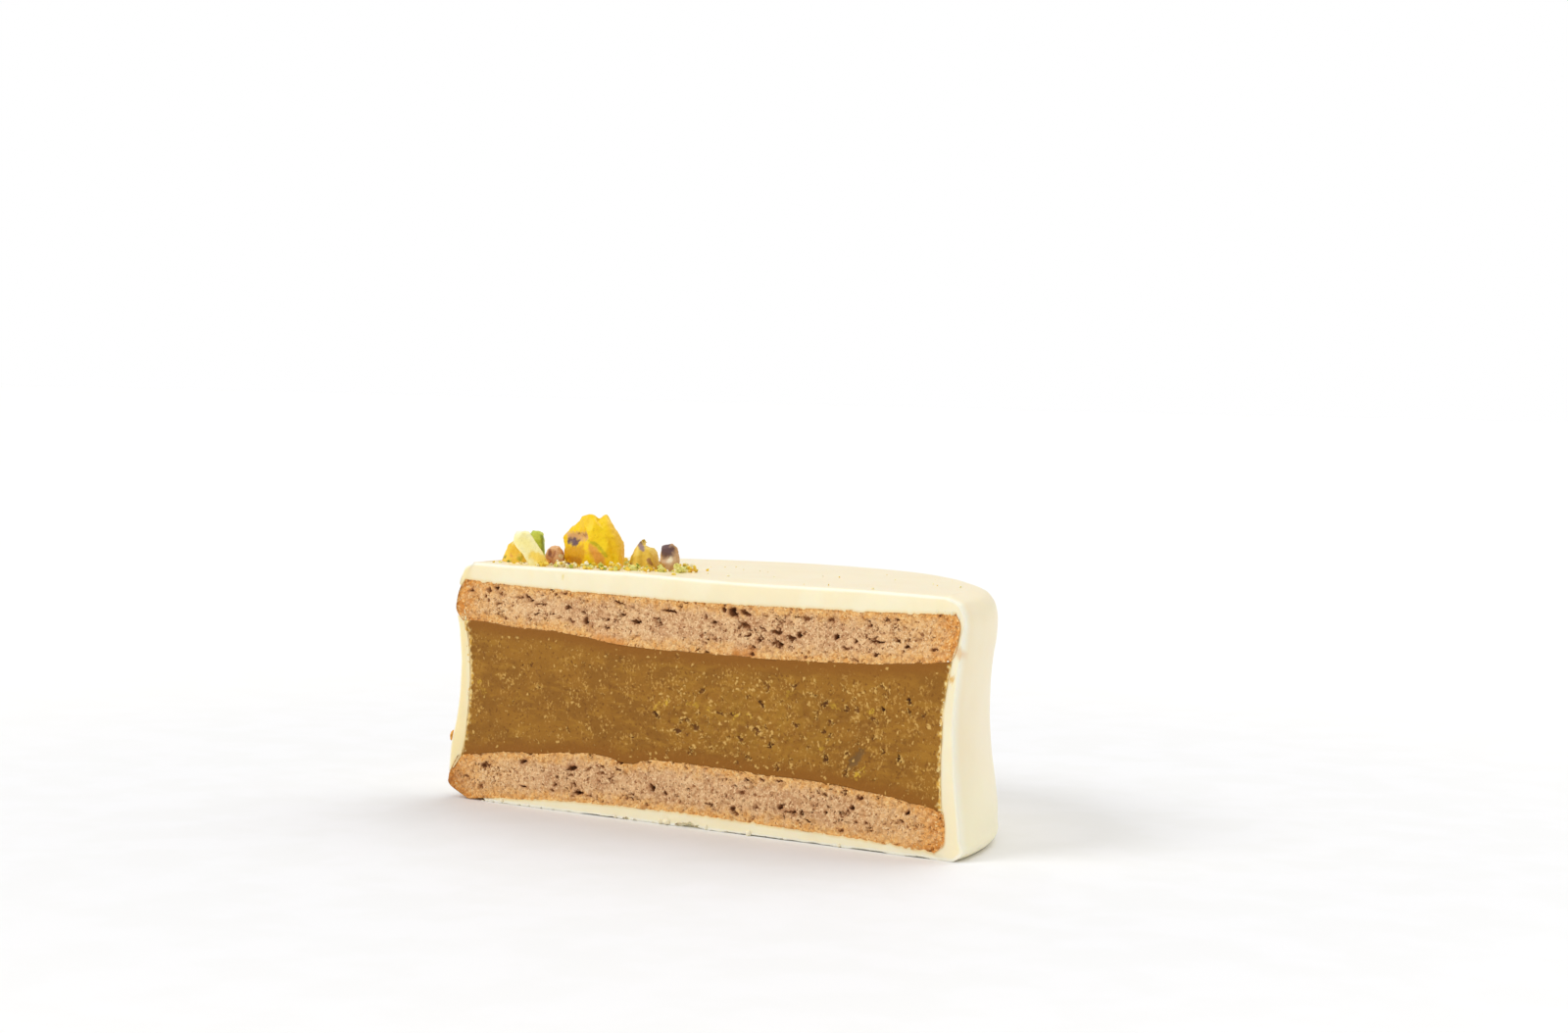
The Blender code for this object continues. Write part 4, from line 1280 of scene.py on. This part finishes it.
# ---- nuts -------------------------------------------------------------------------------------
# Each nut piece: light and dark tone of its body, how much it swells, patches of colour (radius,
# tone, places along the patch), grooves (reach, depth, places along the groove; a negative depth
# is a ridge), and breaks: planes (outward normal, distance), where what lies beyond all is gone.
NUTS = {
    "nut_large": {
        "tones": ((255, 216, 4), (252, 204, 0)),
        "swell": 0.12,
        "patches": (
            (1.35, (246, 196, 58), (-14.4, -10.6, 32.8), (-13.4, -10.4, 31.0),
             (-12.9, -10.3, 28.9)),
            (1.05, (222, 162, 6), (-20.8, -11.0, 28.9), (-19.2, -12.3, 29.0), (-17.9, -12.7, 29.0)),
            (0.5, (196, 130, 0), (-20.6, -11.3, 28.2), (-18.2, -12.8, 28.2)),
            (0.7, (234, 162, 62), (-16.3, -12.9, 29.6), (-15.3, -12.8, 28.4)),
            (0.55, (226, 174, 112), (-21.1, -10.8, 31.0), (-19.3, -11.9, 30.9),
             (-17.6, -12.6, 31.1)),
            (0.48, (110, 82, 88), (-20.9, -10.9, 30.3), (-19.3, -11.9, 30.25)),
            (0.3, (150, 104, 70), (-18.6, -12.3, 30.9), (-17.7, -12.6, 31.2)),
            (0.13, (150, 102, 48), (-19.3, -11.8, 31.25), (-17.8, -12.6, 31.45)),
            (0.22, (206, 184, 6), (-17.0, -13.0, 30.8), (-15.6, -12.9, 30.1), (-14.7, -12.5, 29.0)),
            (0.28, (220, 176, 108), (-16.0, -12.1, 33.4), (-18.3, -8.9, 33.4)),
        ),
        "grooves": (
            (1.1, -0.8, (-21.1, -10.6, 30.9)),
            (1.0, -0.4, (-21.0, -10.8, 29.0)),
            (0.45, 0.5, (-15.9, -12.2, 33.4), (-18.6, -8.5, 33.4)),
            (0.35, 0.22, (-16.2, -11.9, 33.0), (-15.4, -11.9, 32.0), (-14.5, -12.0, 30.7),
             (-13.9, -11.9, 28.8)),
            (0.6, 0.32, (-21.2, -10.6, 30.8), (-19.3, -11.8, 30.7), (-17.7, -12.6, 31.0)),
            (0.3, 0.24, (-17.1, -13.0, 30.9), (-15.6, -12.8, 30.1), (-14.6, -12.4, 28.9)),
            (0.5, -0.2, (-17.6, -12.5, 32.6), (-15.6, -12.5, 31.2), (-14.4, -12.3, 29.0)),
            (0.9, -0.22, (-20.4, -11.6, 29.0), (-18.2, -12.8, 29.1)),
        ),
        "breaks": (
            (((-0.383, -0.278, 0.881), 39.17), ((-0.739, -0.536, 0.409), 33.93)),
            (((0.68, 0.493, 0.54), 1.95),),
        ),
    },
    "nut_wedge": {
        "tones": ((252, 212, 72), (240, 188, 50)),
        "swell": 0.12,
        "patches": (
            (0.34, (234, 158, 84), (-28.3, -12.5, 28.4), (-27.3, -12.3, 28.8)),
            (0.36, (250, 230, 134), (-28.4, -12.2, 29.9), (-27.7, -12.2, 30.1)),
            (0.5, (178, 166, 34), (-27.3, -12.3, 28.1), (-26.6, -11.8, 28.7)),
            (0.32, (132, 128, 26), (-29.8, -11.8, 28.05), (-29.2, -12.1, 28.0)),
            (0.26, (238, 172, 60), (-27.5, -12.1, 29.8), (-27.0, -11.9, 29.2)),
        ),
        "grooves": ((0.35, 0.15, (-29.0, -12.3, 28.6), (-27.6, -12.5, 28.7)),),
        "breaks": ((((-0.737, -0.535, 0.413), 40.1),), (((0.45, -0.86, 0.24), 4.75),)),
    },
    "nut_sliver": {
        "tones": ((255, 246, 184), (254, 240, 158)),
        "swell": 0.85,
        "patches": (
            (0.55, (252, 218, 92), (-23.6, -14.5, 28.7), (-22.0, -14.3, 28.0)),
            (0.22, (222, 158, 60), (-22.3, -14.6, 28.0)),
            (0.6, (255, 250, 220), (-25.7, -14.5, 31.3)),
        ),
        "grooves": (),
        "breaks": (
            (((0.659, 0.478, 0.578), -4.85),),
            (((-0.589, -0.427, -0.685), 1.25),),
            (((-0.656, -0.476, 0.583), 42.25),),
            (((0.105, 0.076, 0.99), 27.3),),
            (((0.45, -0.88, 0.15), 6.75),),
            (((-0.45, 0.88, 0.1), 2.1),),
        ),
    },
    "nut_green": {
        "tones": ((204, 212, 78), (182, 198, 58)),
        "swell": 0.4,
        "patches": (
            (0.4, (140, 152, 30), (-26.0, -9.4, 30.4), (-26.0, -9.4, 29.0)),
            (0.26, (232, 230, 134), (-27.9, -9.5, 30.9), (-27.0, -9.5, 31.0)),
        ),
        "grooves": (),
        "breaks": (
            (((0.1, 0.07, 0.99), 27.5),),
            (((0.809, 0.587, 0.1), -23.5),),
        ),
    },
    "nut_brown": {
        "tones": ((234, 184, 132), (212, 152, 102)),
        "swell": 0.05,
        "patches": (
            (0.34, (158, 84, 34), (-22.0, -12.3, 29.4), (-22.5, -12.4, 28.6)),
            (0.24, (150, 92, 64), (-23.1, -12.1, 29.2), (-22.9, -12.2, 28.7)),
            (0.45, (240, 228, 178), (-21.5, -11.7, 28.5)),
            (0.22, (248, 216, 172), (-22.7, -12.3, 29.65)),
        ),
        "grooves": ((0.4, 0.25, (-22.7, -12.3, 28.8)), (0.3, 0.2, (-22.0, -12.3, 29.2))),
        "breaks": (),
    },
    "nut_mixed": {
        "tones": ((246, 212, 96), (232, 190, 62)),
        "swell": 0.16,
        "patches": (
            (0.7, (184, 146, 14), (-12.6, -11.3, 29.8), (-12.3, -11.6, 28.6)),
            (0.32, (150, 98, 44), (-12.6, -11.4, 28.1), (-11.9, -11.7, 28.05)),
            (0.34, (164, 136, 130), (-11.3, -10.8, 30.8), (-10.8, -11.0, 29.9)),
            (0.3, (244, 218, 96), (-10.2, -10.7, 30.3), (-9.6, -10.7, 30.2)),
            (0.26, (176, 122, 56), (-9.7, -11.2, 28.7), (-9.3, -11.0, 28.2)),
        ),
        "grooves": (
            (0.6, 0.5, (-9.9, -11.1, 30.9), (-11.0, -9.6, 30.9)),
            (0.3, -0.5, (-11.4, -10.7, 30.9)),
            (0.25, 0.25, (-11.6, -11.5, 30.0), (-11.4, -11.7, 28.4)),
            (0.3, 0.25, (-10.6, -11.4, 30.0), (-10.3, -11.6, 28.4)),
        ),
        "breaks": (
            (((-0.712, -0.517, 0.47), 28.0),),
            (((0.809, 0.587, 0.0), -14.9), ((0.0, 0.0, 1.0), 30.0)),
            (((-0.3, -0.95, 0.1), 17.4),),
        ),
    },
    "nut_skin": {
        "tones": ((222, 184, 142), (202, 156, 104)),
        "swell": 0.2,
        "patches": (
            (0.9, (104, 76, 76), (-8.3, -10.6, 30.3), (-7.6, -10.6, 29.8)),
            (0.3, (210, 170, 150), (-8.7, -10.9, 29.1)),
            (0.36, (190, 134, 40), (-8.7, -11.0, 28.3), (-7.9, -11.0, 28.2)),
            (0.4, (242, 226, 194), (-7.1, -10.8, 28.8)),
        ),
        "grooves": ((0.35, 0.2, (-8.6, -11.0, 28.9), (-7.3, -11.0, 29.1)),),
        "breaks": (
            (((-0.15, -0.11, 0.98), 32.15),),
            (((0.5, 0.36, 0.79), 16.9),),
            (((-0.81, -0.58, 0.1), 15.9),),
            (((0.2, -0.97, 0.1), 11.9),),
        ),
    },
}
NUT_SINK = 0.45  # how far the foot of a nut piece reaches down into the soft coating
NUT_FINENESS = 0.11  # length of a nut mesh's edges
NUT_CHIPS = 9  # flat chips taken off each nut piece
CHIP_DEPTH = (0.03, 0.06)  # by the piece's length, and for every piece


def nut_material(name, light, dark, tones):
    material, tree, shader = new_material(name, 0.45, 0.35)
    colour = mottled(tree, (1.4, 0.40, 0.62, 1.0), light, dark)
    colour = patched(tree, colour, tones)
    flecks = times(tree, blotches(tree, 0.3, 0.58, 0.74, 3.0), 0.35)
    colour = mix(tree, flecks, colour, tone(*[0.75 * v for v in dark]))
    dress(tree, shader, colour, 0.35, 2.0, 0.00006, 0.6)
    return material


def chop(points, draw, cuts, depth):
    """Takes flat chips off a piece, at random places of its upper half."""
    for _ in range(cuts):
        normal = np.array([draw.gauss(0, 1), draw.gauss(0, 1), abs(draw.gauss(0, 0.8))])
        normal /= np.linalg.norm(normal)
        reach = (points @ normal).max() - depth * draw.uniform(0.5, 1.5)
        points = break_off(points, ((normal, reach),))
    return points


def make_nut(name, seed, tones, swell, patches, grooves, breaks):
    """A copy of the nut's solid, merged, made finer, broken, grooved and sunk a little."""
    source = frame["nodes"][name]
    obj = source.copy()
    obj.data = source.data.copy()
    obj.parent = None
    obj.name = name + "_piece"
    obj.data.name = obj.name
    bpy.context.scene.collection.objects.link(obj)
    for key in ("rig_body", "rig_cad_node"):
        if key in obj:
            del obj[key]
    tidy_mesh(obj)
    apply_modifier(obj, "REMESH", mode="VOXEL", voxel_size=NUT_FINENESS * MM)
    apply_modifier(obj, "SMOOTH", factor=0.5, iterations=3)
    points, normals = read_points(obj), read_normals(obj)
    push = np.full(len(points), swell)
    for reach, depth, *places in grooves:
        push = push - min(depth, 0.0) * np.exp(-((from_line(points, places) / reach) ** 2))
    points = points + normals * push[:, None]
    for faces in breaks:
        points = break_off(points, faces)
    longest = np.ptp(points, axis=0).max()
    depth = CHIP_DEPTH[0] * longest + CHIP_DEPTH[1]
    points = chop(points, random.Random(seed), NUT_CHIPS, depth)
    write_points(obj, points)
    apply_modifier(obj, "SMOOTH", factor=0.5, iterations=2)
    points, normals = read_points(obj), read_normals(obj)
    push = 0.10 * noise_round(points, 1.1) + 0.06 * noise_round(points, 0.45, 2.0)
    push = push + 0.03 * noise_round(points, 0.2, 6.0)
    for reach, depth, *places in grooves:
        push = push - max(depth, 0.0) * np.exp(-((from_line(points, places) / reach) ** 2))
    points = points + normals * push[:, None]
    foot = coating_top(points[:, 0], points[:, 1])
    points[:, 2] -= NUT_SINK * (1 - smooth_step(0.2, 1.6, points[:, 2] - foot))
    write_points(obj, points)
    store_patches(obj, points, patches)
    make_active(obj)
    bpy.ops.object.shade_smooth_by_angle(angle=math.radians(50))
    slot = next(s["material_slot"] for s in frame["record"]["subparts"] if s["node"] == name)
    settle(obj, slot, nut_material(name, *tones, [patch[1] for patch in patches]), name)
    return obj


# ---- crumbs of nut ----------------------------------------------------------------------------
def in_patch(x, depth, reach):
    """True where a crumb of that reach lies in the patch and off the rounded shoulder."""
    along = (x - PATCH_MIDDLE[0]) / PATCH_HALF[0]
    across = (depth - PATCH_MIDDLE[1]) / PATCH_HALF[1]
    return along ** 2 + across ** 2 < 1 and math.hypot(x, depth) + reach < PATCH_RADIUS_LIMIT


def clear_of_nuts(x, depth, reach):
    """True where a crumb of that reach keeps clear of every nut piece."""
    for (at_x, at_depth), half in NUT_SPOTS:
        room = GAP + reach
        across = (x - at_x) / (NUT_ROOM[0] * max(half[0], NUT_LEAN * half[2]) + room)
        along = (depth - at_depth) / (NUT_ROOM[1] * half[1] + room)
        if across ** 2 + along ** 2 < 1:
            return False
    return True


def uneven_ball(draw, radius, low, high):
    """Half sizes and turn of a crumb, drawn at random for its radius."""
    half = [radius * draw.uniform(low, high) for _ in range(3)]
    return half, [draw.uniform(0, 360) for _ in range(3)]


def crumb_spots():
    """The crumbs that the coating's solid carries: place, half sizes and turn of each."""
    draw = random.Random(CRUMB_SEED)
    placed = []
    for radius in sorted((draw.uniform(*CRUMB_RADII) for _ in range(CRUMBS)), reverse=True):
        reach = CRUMB_STRETCH[1] * radius
        for _ in range(CRUMB_TRIES):
            x = PATCH_MIDDLE[0] + PATCH_HALF[0] * draw.uniform(-1, 1)
            depth = PATCH_MIDDLE[1] + PATCH_HALF[1] * draw.uniform(-1, 1)
            apart = all(
                math.hypot(x - a, depth - b) > reach + CRUMB_STRETCH[1] * r for a, b, r in placed
            )
            if apart and in_patch(x, depth, reach) and clear_of_nuts(x, depth, reach):
                placed.append((x, depth, radius))
                break
    spots = []
    for x, depth, radius in placed:
        half, turn = uneven_ball(draw, radius, *CRUMB_STRETCH)
        z = coating_top(x, CUT_Y + depth) + CRUMB_LIFT * radius
        spots.append(((x, depth, z), half, turn))
    return spots


def draw_kind(draw):
    value = draw.random()
    for kind, share in KIND_SHARES:
        value -= share
        if value < 0:
            return kind
    return KIND_SHARES[0][0]


def heap_spots(draw, spot):
    """A crumb of the solid as a core and smaller grains round it, within the same reach."""
    (x, depth, z), half, turn = spot
    size = sum(half) / 3
    found = [(draw_kind(draw), ((x, depth, z), [0.7 * h for h in half], turn))]
    for _ in range(HEAP_GRAINS):
        angle, up = draw.uniform(0, 2 * math.pi), draw.uniform(-0.3, 0.8)
        out = 0.8 * math.sqrt(1 - up * up)
        place = (x + out * half[0] * math.cos(angle), depth + out * half[1] * math.sin(angle),
                 z + 0.7 * up * half[2])
        grain = size * draw.uniform(0.2, 0.42)
        kind = found[0][0] if draw.random() < 0.5 else draw_kind(draw)
        found.append((kind, (place, *uneven_ball(draw, grain, 0.7, 1.4))))
    return found


def dust_spots(draw):
    """Finer crumbs, thick in the patch and thin out of it to the right."""
    spots = []
    for k in range(DUST_CRUMBS):
        radius = DUST_RADII[0] + (DUST_RADII[1] - DUST_RADII[0]) * draw.random() ** 2
        kind = draw_kind(draw)
        if k % STRAY_EVERY:
            along, across = draw.gauss(0, 0.5), draw.gauss(-0.1, 0.42)
            x = PATCH_MIDDLE[0] + PATCH_HALF[0] * along
            depth = PATCH_MIDDLE[1] + PATCH_HALF[1] * across
        else:
            x, depth = draw.uniform(*STRAY_X), draw.uniform(*STRAY_DEPTH)
            radius, kind = 0.5 * radius + 0.02, draw.choice(STRAY_KINDS)
        if depth > 0.8 and math.hypot(x, depth) < PATCH_RADIUS_LIMIT:
            half, turn = uneven_ball(draw, radius, 0.6, 1.5)
            z = coating_top(x, CUT_Y + depth) + 0.2 * radius
            spots.append((kind, ((x, depth, z), half, turn)))
    return spots


def chip_shape(draw, fineness):
    """A broken crumb: an uneven ball with flat broken faces, one millimetre in radius."""
    chip = add_lump((0, -CUT_Y, 0), (1, 1, 1), fineness=fineness, uneven=0.4, bumps=1.2,
                    seed=40 * draw.random())
    points = read_points(chip)
    for _ in range(CRUMB_BREAKS):
        normal = np.array([draw.gauss(0, 1) for _ in range(3)])
        normal /= np.linalg.norm(normal)
        points = break_off(points, ((normal, draw.uniform(0.45, 0.8)),))
    write_points(chip, points)
    return chip


def crumb_material(kind):
    slot, light, dark = CRUMB_KINDS[kind]
    material, tree, shader = new_material("crumb_" + kind, 0.5, 0.3)
    colour = mix(tree, kept(tree, "tint"), tone(*light), tone(*dark))
    colour = spotted(tree, colour, (0.35, 0.5, 0.7, 1.0, [0.85 * v for v in dark]))
    dress(tree, shader, colour, 0.2, 2.0, 0.00006, 0.7)
    return slot, material


def make_crumbs():
    """One joined piece for each kind of crumb."""
    draw = random.Random(LOOKS_SEED)
    rough = [chip_shape(draw, 3) for _ in range(ROUGH_SHAPES)]
    plain = [chip_shape(draw, 2) for _ in range(ROUGH_SHAPES)]
    wanted = []
    for spot in crumb_spots():
        core, *grains = heap_spots(draw, spot)
        wanted.append((*core, draw.choice(rough)))
        wanted += [(*grain, draw.choice(plain)) for grain in grains]
    for x, depth, radius, kind in SEEN_CRUMBS:
        half, turn = uneven_ball(draw, radius, 0.8, 1.4)
        z = coating_top(x, CUT_Y + depth) + 0.4 * radius
        wanted.append((kind, ((x, depth, z), half, turn), draw.choice(rough)))
    wanted += [(kind, spot, draw.choice(plain)) for kind, spot in dust_spots(draw)]
    wanted.append(("orange", (*RIM_CRUMB, (0, 0, 0)), rough[0]))
    wanted.append(("brown", (*RIM_SPECK, (0, 0, 20)), rough[1]))
    for kind in CRUMB_KINDS:
        copies = []
        for other, ((x, depth, z), half, turn), shape in wanted:
            if other != kind:
                continue
            copy = shape.copy()
            copy.data = shape.data.copy()
            bpy.context.scene.collection.objects.link(copy)
            turned = Euler([math.radians(angle) for angle in turn]).to_matrix().to_4x4()
            place = Matrix.Translation(Vector((x, CUT_Y + depth, z)) * MM)
            copy.data.transform(place @ turned @ Matrix.Diagonal((*half, 1.0)))
            store(copy, "tint", np.full(len(copy.data.vertices), draw.random()))
            copies.append(copy)
        piece = join(copies, "crumbs_" + kind)
        bpy.ops.object.shade_smooth_by_angle(angle=math.radians(35))
        slot, material = crumb_material(kind)
        settle(piece, slot, material, "coating")
    for shape in rough + plain:
        bpy.data.objects.remove(shape)


# ---- the stage --------------------------------------------------------------------------------
FOCAL_PIXELS = 2600.0  # the camera's focal length for a picture 1600 pixels wide
PICTURE_WIDTH = 1600.0
SENSOR_WIDTH = 36.0
CAMERA_PLACE = (154.84, -231.19 + CUT_Y, 48.10)
CAMERA_TURN = (0.554064, -0.048987, 0.021639)  # yaw, pitch, roll
SKY = 0.62
FLOOR_SIZE = 16.0  # metres
LIGHTS = (
    # name, azimuth, elevation, strength, softness
    ("window", -35, 45, 1.1, 30),
    ("back_light", 160, 55, 1.0, 50),
)


def make_camera():
    yaw, pitch, roll = CAMERA_TURN
    level = math.cos(pitch)
    look = Vector((-math.sin(yaw) * level, math.cos(yaw) * level, math.sin(pitch)))
    right = Vector((math.cos(yaw), math.sin(yaw), 0))
    up = right.cross(look)
    side = math.cos(roll) * right + math.sin(roll) * up
    top = math.cos(roll) * up - math.sin(roll) * right
    turn = Matrix((side, top, -look)).transposed()
    data = bpy.data.cameras.new("camera")
    data.sensor_width = SENSOR_WIDTH
    data.lens = FOCAL_PIXELS * SENSOR_WIDTH / PICTURE_WIDTH
    data.clip_start = 0.01
    data.clip_end = 50.0
    camera = bpy.data.objects.new("camera", data)
    bpy.context.scene.collection.objects.link(camera)
    camera.matrix_world = Matrix.Translation(Vector(CAMERA_PLACE) * MM) @ turn.to_4x4()
    bpy.context.scene.camera = camera


def make_floor():
    deselect()
    bpy.ops.mesh.primitive_plane_add(size=FLOOR_SIZE, location=(0, 0, 0))
    floor = bpy.context.object
    floor.name = "floor"
    material, tree, shader = new_material("floor", 0.6, 0.2)
    place = put(tree, "ShaderNodeTexCoord")
    away = put(tree, "ShaderNodeVectorMath", {"operation": "LENGTH"})
    tree.links.new(place.outputs["Object"], away.inputs[0])
    # Painted shade: the floor is painted greyer within a few centimetres of the piece, fading to
    # paler by 20 cm.
    near = mottled(tree, (9.0, 0.4, 0.6), (242, 242, 243), (240, 240, 240))
    pale = mix(tree, ramp(tree, away.outputs["Value"], 0.04, 0.2), near, tone(250, 249, 247))
    tree.links.new(pale, shader.inputs["Base Color"])
    floor.data.materials.append(material)


def make_light(name, azimuth, elevation, strength, softness):
    """A far, soft light: azimuth 0 stands before the cut and 90 at its right end."""
    data = bpy.data.lights.new(name, "SUN")
    data.energy = strength
    data.angle = math.radians(softness)
    light = bpy.data.objects.new(name, data)
    bpy.context.scene.collection.objects.link(light)
    a, e = math.radians(azimuth), math.radians(elevation)
    towards = Vector((math.sin(a) * math.cos(e), -math.cos(a) * math.cos(e), math.sin(e)))
    light.rotation_euler = (-towards).to_track_quat("-Z", "Y").to_euler()


def make_world():
    """White all round, softer as a light than it is to look at."""
    world = bpy.data.worlds.new("studio")
    bpy.context.scene.world = world
    world.use_nodes = True
    tree = world.node_tree
    background = tree.nodes["Background"]
    background.inputs["Color"].default_value = (1.0, 1.0, 1.0, 1.0)
    seen = put(tree, "ShaderNodeLightPath").outputs["Is Camera Ray"]
    level = put(tree, "ShaderNodeMapRange", Value=seen, To_Min=SKY, To_Max=1.0)
    tree.links.new(level.outputs[0], background.inputs["Strength"])
    bpy.context.scene.view_settings.view_transform = "Standard"


make_camera()
make_world()
make_floor()
for sun in LIGHTS:
    make_light(*sun)

baked = biscuit_material()
make_biscuit("top_biscuit_baked", TOP_BISCUIT_SIDE, top_biscuit_bottom, top_biscuit_top, 2.3,
             TOP_PORES, (19.5, 25.5), baked)
make_biscuit("bottom_biscuit_baked", BOTTOM_BISCUIT_SIDE, bottom_biscuit_bottom,
             bottom_biscuit_top, 6.1, BOTTOM_PORES, (1.3, 7.0), baked, BARE_END_X)
make_filling(filling_material())
make_coating(coating_material())
for number, (nut, looks) in enumerate(NUTS.items()):
    make_nut(nut, number, **looks)
make_crumbs()
